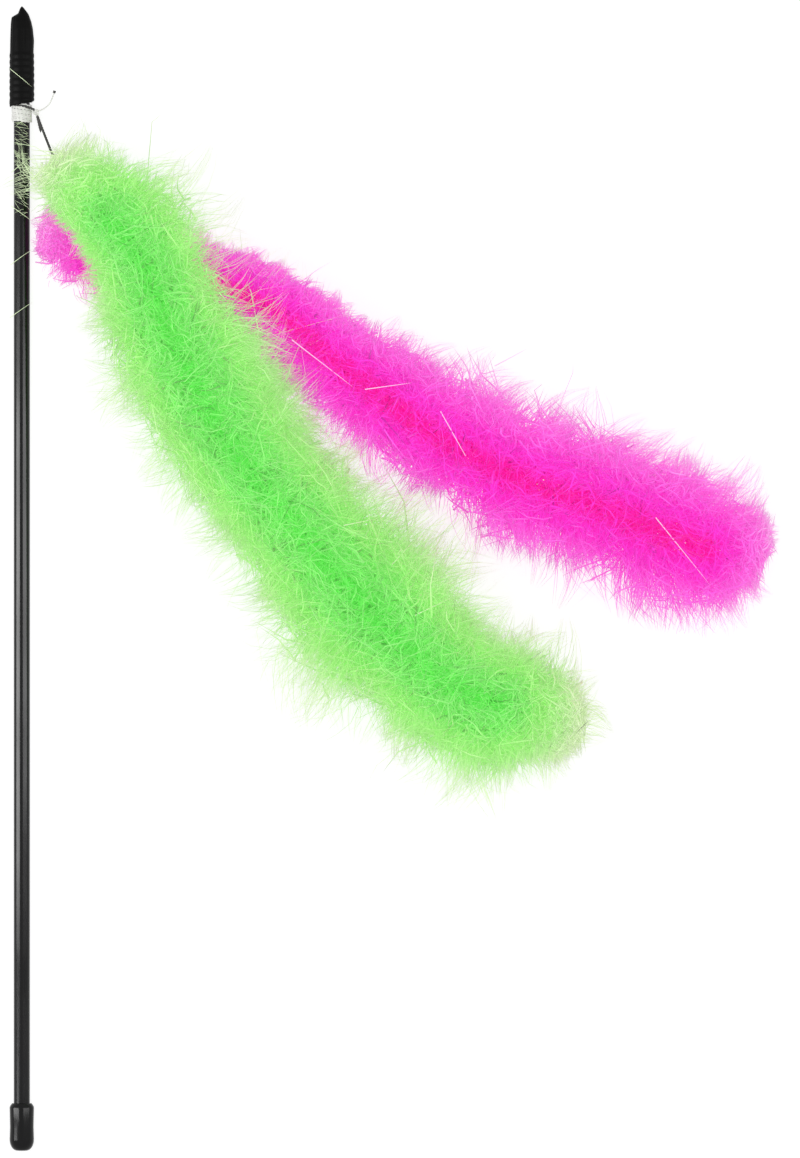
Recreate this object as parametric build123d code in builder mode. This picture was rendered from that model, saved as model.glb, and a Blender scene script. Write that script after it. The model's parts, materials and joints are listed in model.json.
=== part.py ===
from build123d import *

import os
from math import acos, atan2, cos, pi, radians, sin, sqrt, tan

# A cat teaser wand lying on a floor. The rod runs along +Y from the closed end of the handle cap,
# whose flat face is the origin. Two feather boas trail from strings lashed to the rod's tip.

# Rod, a plastic tube
ROD_DIAMETER = 6.0
ROD_WALL = 1.2
ROD_LENGTH = 409.5

# Handle cap, a soft vinyl end cap
CAP_WALL = 1.5
CAP_END_WALL = 2.0
CAP_LENGTH = 17.7
CAP_END_ROUNDING = 2.2
CAP_MOUTH_CHAMFER = 0.5

# Snug fit of the cap, the string and the thread on the rod
SNUG = 0.05

# String wound on the rod's tip under the sleeve
STRING_DIAMETER = 1.0
LASHING_TURNS = 9
LASHING_PITCH = 2.4
LASHING_BELOW_ROD_END = 0.7
STRING_RUN_OUT = 2.4

# Tip sleeve, a shrunk tube whose far end is drawn to a blunt point
SLEEVE_WALL = 0.45
SLEEVE_RIB = 0.15
SLEEVE_MOUTH_ABOVE_EXIT = 0.8
TIP_LENGTH = 17.3
# Shares of the tip's length and of the sleeve's radius: height, half width, half depth, sideways shift
TIP_SECTIONS = [
    (0.00, 1.00, 1.00, 0.00),
    (0.30, 1.02, 0.98, 0.03),
    (0.50, 0.98, 0.93, -0.02),
    (0.65, 0.90, 0.83, -0.12),
    (0.76, 0.74, 0.66, -0.13),
    (0.86, 0.47, 0.44, -0.02),
    (0.94, 0.29, 0.28, -0.02),
    (1.00, 0.12, 0.12, 0.00),
]

# White tie thread below the sleeve, with its knot and its loose tail
THREAD_DIAMETER = 0.6
THREAD_TURNS = 3
THREAD_GAP = 0.42
TIE_KNOT_RADIUS = 1.6
TIE_KNOT_SIDE = 5.4
TIE_KNOT_HEIGHT = 2.0
TIE_KNOT_BELOW_EXIT = 2.4
TAIL_ROUTE = [(4.2, 1.8, 0.4), (6.2, 5.2, 1.0), (7.0, 8.0, 1.2)]

# Clearance between pieces that swing past each other, and between a cord and what is threaded on it
SWING_CLEARANCE = 0.3
# Clearance where one boa lies across the other
STACK_CLEARANCE = 2.0

# Boas: a core cord with feather bunches threaded on it, in straight links that hinge end to end
CORE_DIAMETER = 2.0
CORE_END_GAP = 0.25
# Share of the core's radius that its ends are rounded by
CORE_END_ROUNDING = 0.9
START_KNOT_RADIUS = 1.8
END_KNOT_RADIUS = 2.0
PLUME_ROUNDING = 4.0
PLUME_EYE_RADIUS = 3.0
# Width of a plume over its height, where nothing crowds it and where the boas lie close together
FREE_SPREAD = 1.3
CROWDED_SPREAD = 1.0
PLUME_RADIUS = 20.0
PLUME_NECK_RADIUS = 15.0
PLUME_TAIL_RADIUS = 15.0
CORE_HEIGHT = 17.0

# Where the green boa crosses over the pink one
LOW_PLUME_RADIUS = 7.0
HIGH_PLUME_RADIUS = 13.0
HIGH_START_RADIUS = 10.5
HIGH_START_DROP = 3.0
HIGH_SLOPE_DROP = 6.0

# Share of the shorter of two runs that an arc of a cord's route takes up
ARC_SHARE = 0.45
# Points at which a winding's gap to its next turn is measured
GAP_STEPS = 400

# Sizes worked out from the ones above
ROD_RADIUS = ROD_DIAMETER / 2
STRING_RADIUS = STRING_DIAMETER / 2
THREAD_RADIUS = THREAD_DIAMETER / 2
CORE_RADIUS = CORE_DIAMETER / 2
ROD_END = CAP_END_WALL + ROD_LENGTH
CAP_RADIUS = ROD_RADIUS + SNUG + CAP_WALL
LASHING_RADIUS = ROD_RADIUS + SNUG + STRING_RADIUS
LASHING_START = ROD_END - LASHING_BELOW_ROD_END
LASHING_EXIT = LASHING_START - LASHING_TURNS * LASHING_PITCH
SLEEVE_BORE_RADIUS = sqrt(LASHING_RADIUS**2 + STRING_DIAMETER**2) + STRING_RADIUS + SNUG
SLEEVE_RADIUS = SLEEVE_BORE_RADIUS + SLEEVE_WALL
SLEEVE_MOUTH = LASHING_EXIT + SLEEVE_MOUTH_ABOVE_EXIT
TIE_RADIUS = ROD_RADIUS + SNUG + THREAD_RADIUS
TIE_PITCH = THREAD_DIAMETER + THREAD_GAP
TIE_KNOT = Vector(TIE_KNOT_SIDE, LASHING_EXIT - TIE_KNOT_BELOW_EXIT, TIE_KNOT_HEIGHT)
FLOOR = -SLEEVE_RADIUS
LOW_HEIGHT = LOW_PLUME_RADIUS + SWING_CLEARANCE
HIGH_HEIGHT = LOW_HEIGHT + LOW_PLUME_RADIUS + STACK_CLEARANCE + HIGH_PLUME_RADIUS
PLUME_BORE_RADIUS = CORE_RADIUS + SWING_CLEARANCE

# Routes of the strings from the tie knot to the boas, as steps from the knot
GREEN_STRING_ROUTE = [(5.2, -13.6, 4.0), (10.0, -23.8, 10.5)]
PINK_STRING_ROUTE = [(2.2, -8.5, -3.0), (3.2, -20.5, -5.6), (4.2, -33.5, -3.2)]

# Hinge points of each boa: place on the floor, height of the core above the floor, radius of the plumes,
# angle that the plumes leave open for the bend, and spread of the plume that starts there
GREEN_HINGES = [
    (21.7, 354.3, HIGH_HEIGHT - HIGH_START_DROP, HIGH_START_RADIUS, 40, CROWDED_SPREAD),
    (42.2, 334.9, HIGH_HEIGHT, HIGH_PLUME_RADIUS, 34, CROWDED_SPREAD),
    (56.0, 303.6, HIGH_HEIGHT - HIGH_SLOPE_DROP, PLUME_NECK_RADIUS, 10, CROWDED_SPREAD),
    (73.9, 269.3, CORE_HEIGHT, PLUME_RADIUS, 40, CROWDED_SPREAD),
    (102.6, 232.0, CORE_HEIGHT, PLUME_RADIUS, 26, FREE_SPREAD),
    (137.2, 194.0, CORE_HEIGHT, PLUME_RADIUS, 30, FREE_SPREAD),
    (164.1, 171.6, CORE_HEIGHT, PLUME_RADIUS, 40, FREE_SPREAD),
    (193.1, 163.1, CORE_HEIGHT, PLUME_TAIL_RADIUS, 20, FREE_SPREAD),
]
PINK_HINGES = [
    (11.3, 341.6, LOW_HEIGHT, LOW_PLUME_RADIUS, 40, CROWDED_SPREAD),
    (58.0, 330.0, LOW_HEIGHT, LOW_PLUME_RADIUS, 22, CROWDED_SPREAD),
    (92.0, 317.5, CORE_HEIGHT, PLUME_NECK_RADIUS, 32, CROWDED_SPREAD),
    (126.0, 290.9, CORE_HEIGHT, PLUME_RADIUS, 36, CROWDED_SPREAD),
    (167.1, 262.6, CORE_HEIGHT, PLUME_RADIUS, 38, FREE_SPREAD),
    (211.8, 244.3, CORE_HEIGHT, PLUME_RADIUS, 28, FREE_SPREAD),
    (266.0, 224.0, CORE_HEIGHT, PLUME_TAIL_RADIUS, 20, FREE_SPREAD),
]

os.makedirs("parts", exist_ok=True)


def save(piece, name):
    """Labels a finished piece and writes it under its own name."""
    piece.part.label = name
    export_step(piece.part, f"parts/{name}.step")


def across_rod(along, side=0.0):
    """Plane square to the rod at a distance from the cap's end, facing the tip."""
    return Plane(origin=(side, along, 0), x_dir=(1, 0, 0), z_dir=(0, 1, 0))


def on_rod(radius, angle, along):
    """Point round the rod's axis, with the angle counted from straight up towards +X."""
    return Vector(radius * sin(angle), along, radius * cos(angle))


def round_rod(radius, angle, pitch):
    """Direction of a winding that goes round from straight up towards +X and down the rod."""
    rise = pitch / (2 * pi)
    return Vector(radius * cos(angle), -rise, -radius * sin(angle)).normalized()


def biarc_joint(start, start_way, end, end_way):
    """Point where two tangent arcs of a biarc meet, and the direction of both arcs there."""
    chord = end - start
    ways = start_way + end_way
    spread = 2 * (1 - start_way.dot(end_way))
    lean = chord.dot(ways)
    reach = (sqrt(lean**2 + spread * chord.dot(chord)) - lean) / spread
    before = start + start_way * reach
    after = end - end_way * reach
    return (before + after) * 0.5, (after - before).normalized()


def add_winding(radius, pitch, turns, last_angle, last_along):
    """Adds quarter turns round the rod to the open line, down to the last angle and place."""
    quarters = 4 * turns
    for quarter in range(quarters):
        turned = [(quarter + step - quarters) * pi / 2 for step in (0, 1)]
        ends = [on_rod(radius, last_angle + a, last_along - pitch * a / (2 * pi)) for a in turned]
        ways = [round_rod(radius, last_angle + a, pitch) for a in turned]
        middle, middle_way = biarc_joint(ends[0], ways[0], ends[1], ways[1])
        TangentArc(ends[0], middle, tangent=ways[0])
        TangentArc(middle, ends[1], tangent=middle_way)


def least_gap(path, pitch, radius, diameter):
    """Least gap between a winding and its own next turn, measured on points along it."""
    turn = sqrt((2 * pi * radius) ** 2 + pitch**2)
    points = [path.position_at(i / GAP_STEPS) for i in range(GAP_STEPS + 1)]
    half_turn_steps = int(turn / 2 / (path.length / GAP_STEPS)) + 1
    reaches = [
        (later - earlier).length
        for place, earlier in enumerate(points)
        for later in points[place + half_turn_steps :]
    ]
    return min(reaches) - diameter


def cord_radii(points):
    """Largest arcs that the runs of a cord's route leave room for, one for each corner."""
    radii = []
    for before, corner, after in zip(points, points[1:], points[2:]):
        first = corner - before
        second = after - corner
        half_turn = radians(first.get_angle(second)) / 2
        radii.append(ARC_SHARE * min(first.length, second.length) / tan(half_turn))
    return radii


def make_cord(name, points, diameter):
    """A plain round cord along straight runs joined by tangent arcs."""
    radii = cord_radii(points)
    with BuildPart() as cord:
        with BuildLine() as route:
            FilletPolyline(*points, radius=radii)
        path = route.wire()
        with BuildSketch(Plane(origin=path @ 0, z_dir=path % 0)):
            Circle(diameter / 2)
        sweep(path=path)
    expected = pi * diameter**2 / 4 * path.length
    print(name, "length", round(path.length, 2), "radii", [round(r, 2) for r in radii])
    print(name, "volume over section times length", round(cord.part.volume / expected, 5))
    save(cord, name)


def make_knot(name, centre, radius):
    """A small round knot."""
    with BuildPart() as knot:
        with Locations(centre):
            Sphere(radius)
    save(knot, name)


def make_core(name, start, end, start_gap, end_gap):
    """A straight stretch of a boa's core cord, rounded at both ends."""
    way = (end - start).normalized()
    length = (end - start).length - start_gap - end_gap
    with BuildPart() as core:
        with BuildSketch(Plane(origin=start + way * start_gap, z_dir=way)):
            Circle(CORE_RADIUS)
        extrude(amount=length)
        fillet(core.edges().filter_by(GeomType.CIRCLE), CORE_END_ROUNDING * CORE_RADIUS)
    save(core, name)


def make_plume(name, start, end, radii, openings, spread, gaps):
    """A bunch of feathers as one barrel on its core, coned at both ends to bend, flat on the floor."""
    run = end - start
    side = run.cross(Vector(0, 0, 1))
    slopes = [spread * tan(radians(opening / 2)) for opening in openings]
    first_end = gaps[0]
    last_end = run.length - gaps[1]
    first_eye = first_end + PLUME_EYE_RADIUS * slopes[0]
    first_rim = first_end + radii[0] * slopes[0]
    last_rim = last_end - radii[1] * slopes[1]
    last_eye = last_end - PLUME_EYE_RADIUS * slopes[1]
    with BuildPart() as barrel:
        with BuildSketch(Plane.XZ) as outline:
            with BuildLine():
                Polyline(
                    (first_eye, 0),
                    (first_eye, PLUME_EYE_RADIUS),
                    (first_rim, radii[0]),
                    (last_rim, radii[1]),
                    (last_eye, PLUME_EYE_RADIUS),
                    (last_eye, 0),
                    close=True,
                )
            make_face()
            rims = [v for v in outline.vertices() if v.Y > PLUME_EYE_RADIUS + SNUG]
            fillet(rims, PLUME_ROUNDING)
        revolve(axis=Axis.X)
        if spread != CROWDED_SPREAD:
            scale(by=(1, spread, 1))
        with BuildSketch(Plane.YZ):
            Circle(PLUME_BORE_RADIUS)
        extrude(amount=run.length, mode=Mode.SUBTRACT)
    with BuildPart() as plume:
        with Locations(Plane(origin=start, x_dir=run, z_dir=side.cross(run))):
            add(barrel.part)
        if plume.part.bounding_box().min.Z < FLOOR:
            split(bisect_by=Plane.XY.offset(FLOOR), keep=Keep.TOP)
    save(plume, name)


def make_boa(colour, hinges):
    """All links of one boa, from the knot that its string is tied to, to the knot at its far end."""
    points = [Vector(x, y, FLOOR + height) for x, y, height, *shape in hinges]
    radii, openings, spreads = zip(*[hinge[3:] for hinge in hinges])
    links = len(points) - 1
    make_knot(f"{colour}_start_knot", points[0], START_KNOT_RADIUS)
    for link in range(links):
        first_link = link == 0
        knot_gap = START_KNOT_RADIUS + SNUG
        core_gap = knot_gap if first_link else CORE_END_GAP
        plume_gap = START_KNOT_RADIUS + SWING_CLEARANCE if first_link else SWING_CLEARANCE
        both = slice(link, link + 2)
        make_core(f"{colour}_core_{link + 1}", *points[both], core_gap, CORE_END_GAP)
        plume_gaps = (plume_gap, SWING_CLEARANCE)
        plume_shape = (radii[both], openings[both], spreads[link])
        make_plume(f"{colour}_plume_{link + 1}", *points[both], *plume_shape, plume_gaps)
    last_way = (points[-1] - points[-2]).normalized()
    make_knot(f"{colour}_end_knot", points[-1] + last_way * END_KNOT_RADIUS, END_KNOT_RADIUS)
    return points


def make_string(colour, steps, boa_start):
    """The string from the tie knot to the start of a boa, clear of both knots."""
    middle = [TIE_KNOT + Vector(*step) for step in steps]
    first_way = (middle[0] - TIE_KNOT).normalized()
    last_way = (boa_start - middle[-1]).normalized()
    start = TIE_KNOT + first_way * (TIE_KNOT_RADIUS + SWING_CLEARANCE)
    end = boa_start - last_way * (START_KNOT_RADIUS + SWING_CLEARANCE)
    make_cord(f"{colour}_string", [start, *middle, end], STRING_DIAMETER)


# Rod
with BuildPart() as wand_rod:
    with BuildSketch(across_rod(CAP_END_WALL)):
        Circle(ROD_RADIUS)
        Circle(ROD_RADIUS - ROD_WALL, mode=Mode.SUBTRACT)
    extrude(amount=ROD_LENGTH)
save(wand_rod, "wand_rod")

# Handle cap
with BuildPart() as handle_cap:
    with BuildSketch(across_rod(0)):
        Circle(CAP_RADIUS)
    extrude(amount=CAP_LENGTH)
    fillet(handle_cap.faces().sort_by(Axis.Y)[0].edges(), CAP_END_ROUNDING)
    chamfer(handle_cap.faces().sort_by(Axis.Y)[-1].edges(), CAP_MOUTH_CHAMFER)
    with BuildSketch(across_rod(CAP_END_WALL)):
        Circle(ROD_RADIUS + SNUG)
    extrude(amount=CAP_LENGTH, mode=Mode.SUBTRACT)
save(handle_cap, "handle_cap")

# String lashing, which leaves the rod at its top and runs out to the tie knot
string_exit = on_rod(LASHING_RADIUS, 0, LASHING_EXIT)
exit_way = round_rod(LASHING_RADIUS, 0, LASHING_PITCH)
run_out_corner = string_exit + exit_way * STRING_RUN_OUT
knot_way = (TIE_KNOT - run_out_corner).normalized()
run_out_end = TIE_KNOT - knot_way * (TIE_KNOT_RADIUS + SNUG)
first_angle = -2 * pi * LASHING_TURNS
first_point = on_rod(LASHING_RADIUS, first_angle, LASHING_START)
run_out_radius = cord_radii([string_exit, run_out_corner, run_out_end])[0]
with BuildPart() as string_lashing:
    with BuildLine() as lashing_line:
        Line(first_point - exit_way * STRING_DIAMETER, first_point)
        add_winding(LASHING_RADIUS, LASHING_PITCH, LASHING_TURNS, 0, LASHING_EXIT)
        FilletPolyline(string_exit, run_out_corner, run_out_end, radius=run_out_radius)
    lashing_path = lashing_line.wire()
    with BuildSketch(Plane(origin=lashing_path @ 0, z_dir=lashing_path % 0)):
        Circle(STRING_RADIUS)
    sweep(path=lashing_path)
lashing_gap = least_gap(lashing_path, LASHING_PITCH, LASHING_RADIUS, STRING_DIAMETER)
lashing_share = string_lashing.part.volume / (pi * STRING_RADIUS**2 * lashing_path.length)
print("string_lashing least gap", round(lashing_gap, 3), "run-out radius", round(run_out_radius, 2))
print("string_lashing volume over section times length", round(lashing_share, 5))
save(string_lashing, "string_lashing")

# Tip sleeve, ribbed over the turns of string and drawn to a blunt point past the rod's end
ribs = LASHING_TURNS - 1
smooth_start = SLEEVE_MOUTH + ribs * LASHING_PITCH
tip_radius = SLEEVE_RADIUS - SLEEVE_RIB
with BuildPart() as tip_sleeve:
    with BuildSketch(Plane.XY) as sleeve_outline:
        with BuildLine():
            for rib in range(ribs):
                low = SLEEVE_MOUTH + rib * LASHING_PITCH
                ThreePointArc(
                    (tip_radius, low),
                    (SLEEVE_RADIUS, low + LASHING_PITCH / 2),
                    (tip_radius, low + LASHING_PITCH),
                )
            Polyline(
                (tip_radius, smooth_start),
                (0, smooth_start),
                (0, SLEEVE_MOUTH),
                (tip_radius, SLEEVE_MOUTH),
            )
        make_face()
    revolve(axis=Axis.Y)
    for height, half_width, half_depth, shift in TIP_SECTIONS:
        tip_plane = across_rod(smooth_start + height * TIP_LENGTH, shift * tip_radius)
        with BuildSketch(tip_plane):
            Ellipse(half_width * tip_radius, half_depth * tip_radius)
    loft(ruled=True)
    with BuildSketch(across_rod(SLEEVE_MOUTH)):
        Circle(SLEEVE_BORE_RADIUS)
    extrude(amount=ROD_END - SLEEVE_MOUTH + SNUG, mode=Mode.SUBTRACT)
save(tip_sleeve, "tip_sleeve")

# Tie thread, whose top turn runs out to the knot
knot_reach = sqrt(TIE_KNOT.X**2 + TIE_KNOT.Z**2)
tie_exit_angle = atan2(TIE_KNOT.X, TIE_KNOT.Z) - acos(TIE_RADIUS / knot_reach)
tie_exit = on_rod(TIE_RADIUS, tie_exit_angle, TIE_KNOT.Y)
tie_start = on_rod(TIE_RADIUS, tie_exit_angle, TIE_KNOT.Y - THREAD_TURNS * TIE_PITCH)
tie_way = round_rod(TIE_RADIUS, tie_exit_angle, -TIE_PITCH)
tie_run_out = knot_reach * sin(acos(TIE_RADIUS / knot_reach)) - TIE_KNOT_RADIUS - SNUG
with BuildPart() as tie_thread:
    with BuildLine() as tie_line:
        Line(tie_start - tie_way * THREAD_DIAMETER, tie_start)
        add_winding(TIE_RADIUS, -TIE_PITCH, THREAD_TURNS, tie_exit_angle, TIE_KNOT.Y)
        Line(tie_exit, tie_exit + tie_way * tie_run_out)
    tie_path = tie_line.wire()
    with BuildSketch(Plane(origin=tie_path @ 0, z_dir=tie_path % 0)):
        Circle(THREAD_RADIUS)
    sweep(path=tie_path)
tie_gap = least_gap(tie_path, TIE_PITCH, TIE_RADIUS, THREAD_DIAMETER)
tie_share = tie_thread.part.volume / (pi * THREAD_RADIUS**2 * tie_path.length)
print("tie_thread least gap", round(tie_gap, 3))
print("tie_thread volume over section times length", round(tie_share, 5))
save(tie_thread, "tie_thread")

# Tie knot and its loose tail
make_knot("tie_knot", TIE_KNOT, TIE_KNOT_RADIUS)
tail_points = [TIE_KNOT + Vector(*step) for step in TAIL_ROUTE]
tail_way = (tail_points[0] - TIE_KNOT).normalized()
tail_start = TIE_KNOT + tail_way * (TIE_KNOT_RADIUS + SNUG)
make_cord("thread_tail", [tail_start, *tail_points], THREAD_DIAMETER)

# Boas and their strings
green_points = make_boa("green", GREEN_HINGES)
pink_points = make_boa("pink", PINK_HINGES)
make_string("green", GREEN_STRING_ROUTE, green_points[0])
make_string("pink", PINK_STRING_ROUTE, pink_points[0])
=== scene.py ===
import json
import math
from typing import NamedTuple

import bpy
import numpy as np
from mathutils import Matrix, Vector


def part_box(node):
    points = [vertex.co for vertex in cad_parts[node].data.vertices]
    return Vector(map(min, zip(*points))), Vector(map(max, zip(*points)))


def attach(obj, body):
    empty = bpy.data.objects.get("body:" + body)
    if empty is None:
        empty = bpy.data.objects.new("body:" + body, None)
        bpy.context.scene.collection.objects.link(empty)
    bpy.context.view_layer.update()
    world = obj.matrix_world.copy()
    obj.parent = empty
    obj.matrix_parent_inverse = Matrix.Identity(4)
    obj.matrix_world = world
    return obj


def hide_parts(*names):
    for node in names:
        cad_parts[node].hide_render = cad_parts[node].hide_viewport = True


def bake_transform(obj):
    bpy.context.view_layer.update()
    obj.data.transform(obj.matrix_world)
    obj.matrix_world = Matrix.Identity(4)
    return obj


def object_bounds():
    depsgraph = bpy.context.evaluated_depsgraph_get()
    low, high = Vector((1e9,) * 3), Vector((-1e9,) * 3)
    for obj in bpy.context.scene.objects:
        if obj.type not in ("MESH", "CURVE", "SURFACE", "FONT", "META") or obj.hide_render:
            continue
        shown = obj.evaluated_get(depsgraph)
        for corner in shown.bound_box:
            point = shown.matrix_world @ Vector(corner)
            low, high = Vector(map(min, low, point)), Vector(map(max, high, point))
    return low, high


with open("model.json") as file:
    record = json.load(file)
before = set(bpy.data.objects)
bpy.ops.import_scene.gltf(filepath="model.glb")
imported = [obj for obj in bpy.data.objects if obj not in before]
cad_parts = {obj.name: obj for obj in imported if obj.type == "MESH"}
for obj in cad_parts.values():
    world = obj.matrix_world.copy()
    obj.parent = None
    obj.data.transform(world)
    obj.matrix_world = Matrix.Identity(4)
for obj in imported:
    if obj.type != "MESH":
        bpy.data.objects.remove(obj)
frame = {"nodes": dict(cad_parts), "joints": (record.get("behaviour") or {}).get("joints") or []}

bl_info = {
    "name": "Cat Teaser Wand",
    "version": (1, 0, 0),
    "blender": (4, 5, 0),
    "location": "View3D > Sidebar > Teaser Wand",
    "description": "Dresses the frame of a cat teaser wand with two feather boas",
    "category": "Object",
}

# Every size is in metres. The rod lies along +Y. The down rests on the lowest plane of the frame, which is
# called the floor here. The floor of the stage is higher, level with the rod's axis.
MM = 0.001
CAD_LOW, CAD_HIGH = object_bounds()
FLOOR = CAD_LOW.z
COLOURS = ("green", "pink")
UP = Vector((0, 0, 1))

# Sizes read from the frame
ROD_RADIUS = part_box("wand_rod")[1].x
CAP_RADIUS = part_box("handle_cap")[1].x
CAP_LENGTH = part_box("handle_cap")[1].y
SLEEVE_RADIUS = -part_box("tip_sleeve")[0].z
SLEEVE_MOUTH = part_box("tip_sleeve")[0].y
SLEEVE_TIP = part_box("tip_sleeve")[1].y
TIE_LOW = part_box("tie_thread")[0].y
TIE_KNOT = sum(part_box("tie_knot"), Vector()) / 2
TIE_KNOT_RADIUS = (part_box("tie_knot")[1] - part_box("tie_knot")[0]).z / 2

# Strings and threads
STRING_DIAMETER = 1.0 * MM
THREAD_DIAMETER = 0.6 * MM
TIE_DIAMETER = 0.85 * MM
CORE_DIAMETER = 2.0 * MM
STRING_PLIES = 3
THREAD_PLIES = 2
CORE_PLIES = 2
PLY_TURN = 3.2
PLY_SQUASH = 1.12
STRING_STEP = 0.15 * MM
THREAD_STEP = 0.12 * MM
CORE_STEP = 0.6 * MM
CORE_LAP = 0.1 * MM
SEAT_GAP = 0.05 * MM
LASHING_DROP = 0.8 * MM
LASHING_POINTS = 60
TIE_DROP = 0.35 * MM
TIE_TURNS = 12
TIE_WANDER = 0.12 * MM
TIE_WANDER_RATE = 2.3
TIE_OVERRUN = 0.35
TIE_POINTS = 50
TIE_STRAND = 0.42 * MM
TIE_KNOT_TURN = 0.5
CORE_KNOT_RADIUS = 1.8 * MM
CORE_STRAND = 0.62 * MM
TAIL_END_POINTS = 7
TAIL_END_SHARE = 0.9
# In mm: steps from the tie knot, the gap before a boa, and run-outs with a corner and an end at the knot
STRING_STEPS = {
    "green": [(5.2, -13.6, 4.0), (10.0, -23.8, 10.5)],
    "pink": [(2.2, -8.5, -3.0), (3.2, -20.5, -5.6), (4.2, -33.5, -3.2)],
}
STRING_END_GAP = 1.6
LASHING_RUN = ((2.4, -0.3, 0), (-0.6, 0.9, 0.4))
TIE_RUN = ((1.2, -0.2, -0.3), (-0.8, 0, 0.3))
TAIL_STEPS = [(1.4, 0.6, 0.2), (4.2, 1.8, 0.4), (6.2, 5.2, 1.0), (7.0, 8.0, 1.2)]

# Meshes
WELD = 0.002 * MM
STRAND_SIDES = 8
CORE_SIDES = 6
KNOT_SIDES = 10
KNOT_POINTS = 72
TREFOIL_RISE = 1.6
TREFOIL_SIZE = 3.6

# Cap: the dimple is given in shares of the flat end and in depths
CAP_CORNER_WIDTH = 2.7 * MM
CAP_CORNER_HEIGHT = 4.2 * MM
CAP_CORNER_RINGS = 12
CAP_SHOULDER = 1.7 * MM
CAP_SHOULDER_CURVE = 1.6
CAP_SHOULDER_RINGS = 8
CAP_LIP = 0.55 * MM
CAP_LIP_DEPTH = 0.1 * MM
CAP_WAIST = 0.15 * MM
CAP_FLOOR = 2.0 * MM
CAP_SEGMENTS = 64
CAP_DIMPLE = [(0, 0.3 * MM), (0.5, 0.26 * MM), (0.8, 0.02 * MM)]

# Sleeve: its waves are given as size, count and phase
RIDGE_PITCH = 2.4 * MM
RIDGE_COUNT = 8
RIDGE_HEIGHT = 0.2 * MM
RIDGE_END = SLEEVE_MOUTH + RIDGE_COUNT * RIDGE_PITCH
SLEEVE_WALL = 0.35 * MM
SLEEVE_SLANT = 1.0 * MM
SLEEVE_RINGS = 100
SLEEVE_SEGMENTS = 72
CREASES = [(0.035, 7, 1.2), (0.02, 12, 0)]
RAGS = [(0.22 * MM, 5, -math.pi / 2), (0.12 * MM, 11, -math.pi / 2)]
# Shares of the way from the last ridge to the tip, and the shares of the radius there: left, right and depth
SLEEVE_DRAWN = [
    (0.00, 0.99, 1.00, 1.00),
    (0.25, 0.98, 1.05, 0.98),
    (0.51, 0.95, 0.95, 0.93),
    (0.66, 0.92, 0.82, 0.83),
    (0.76, 0.86, 0.68, 0.66),
    (0.80, 0.62, 0.62, 0.58),
    (0.84, 0.32, 0.54, 0.47),
    (0.94, 0.17, 0.24, 0.28),
    (1.00, 0.04, 0.04, 0.04),
]

# Finishes: the dyes' ramps are given as shares of the way out from the deepest dye. Their deep core and pale
# ends are partly the dye and partly painted light, for light scattered among the barbs and shining through
# their tips.
ROD_FINISH = {"shine": 0.2, "roughness": 0.14, "lines": 1.0, "grain": 0.15, "bump": 0.06}
CAP_FINISH = {"shine": 0.14, "roughness": 0.15, "lines": 0.2, "grain": 0.8, "bump": 0.12}
SLEEVE_FINISH = {"shine": 0.04, "roughness": 0.42, "lines": 0.6, "grain": 0.6, "bump": 0.30}
DUST = 0.02
DUST_EDGE = 0.45
DUST_COLOUR = (0.16, 0.16, 0.15)
PLASTIC_RELIEF = 0.1 * MM
BLACK_FIBRE = (0.09, 0.085, 0.08)
WHITE_FIBRE = (1.0, 1.0, 0.98)
FIBRE_SHADE = 0.35
FIBRE_SHEEN = 0.2
FIBRE_BUMP = 0.5
FIBRE_RELIEF = 0.08 * MM
DOWN_SHEEN = 0.15
DOWN_SHINE = 0.05
# Share of the down's colour that the lamps light; a painted glow of that colour makes up the rest
LIT_SHARE_BESIDE_PAINTED_GLOW = 0.82
DYE_RAMPS = (("Middle", 0.02, 0.14), ("Outer", 0.20, 0.44), ("Tip", 0.42, 0.90))

# Stage: lamps light the scene, strips show only in mirror images, and each has a place and a size
SENSOR = 36
CLIP_END = 20
FLOOR_SIZE = 6
FLOOR_PALE = (0.8, 0.8, 0.8, 1)
FLOOR_SHADED = (0.30, 0.30, 0.30, 1)
FLOOR_GLOW = 0.78
LAMPS = {
    "window_light": ((-1.23, 0.155, 0.90), (0.26, 1.45)),
    "soft_box": ((1.15, 0.20, 1.04), (0.26, 1.70)),
}
STRIPS = {
    "left_strip": ((-1.12, 0.175, 0.82), (0.29, 1.45)),
    "right_strip": ((1.05, 0.225, 0.95), (0.26, 1.70)),
    "cap_strip": ((-1.15, -0.115, 0.70), (0.08, 0.80)),
}

# Barbs: the map's columns hold the shades, and its height is the distance from the deepest dye
BARB_MAP = "BarbMap"
BAKE_MAP = "OFBake"
BARB_SIDES = 3
BARB_RINGS = 3
RING_CROWDING = 0.9
BARB_TAPER = 0.65
BARB_SPAN = 38 * MM
SHADES = 48
SHADE_STRAY = 5
SHADE_MARGIN = 0.1
# Painted shade: short dark barbs near the core stand in for the shadow in the gaps between tufts
SHADOW_SPECK_SHADES = 4
SHADOW_SPECK_REACH = 0.35
SHADOW_SPECK_DEPTH = 0.40
SHADOW_SPECK_LEAVE = 0.6
SHADOW_SPECK_LENGTH = 0.4
QUILL_SHADE = 46
QUILL_SHARE = 0.4
QUILL_RINGS = 4
QUILL_DIAMETER = 0.45 * MM
QUILL_HEIGHT = 0.92
TINY = 1e-12

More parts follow.
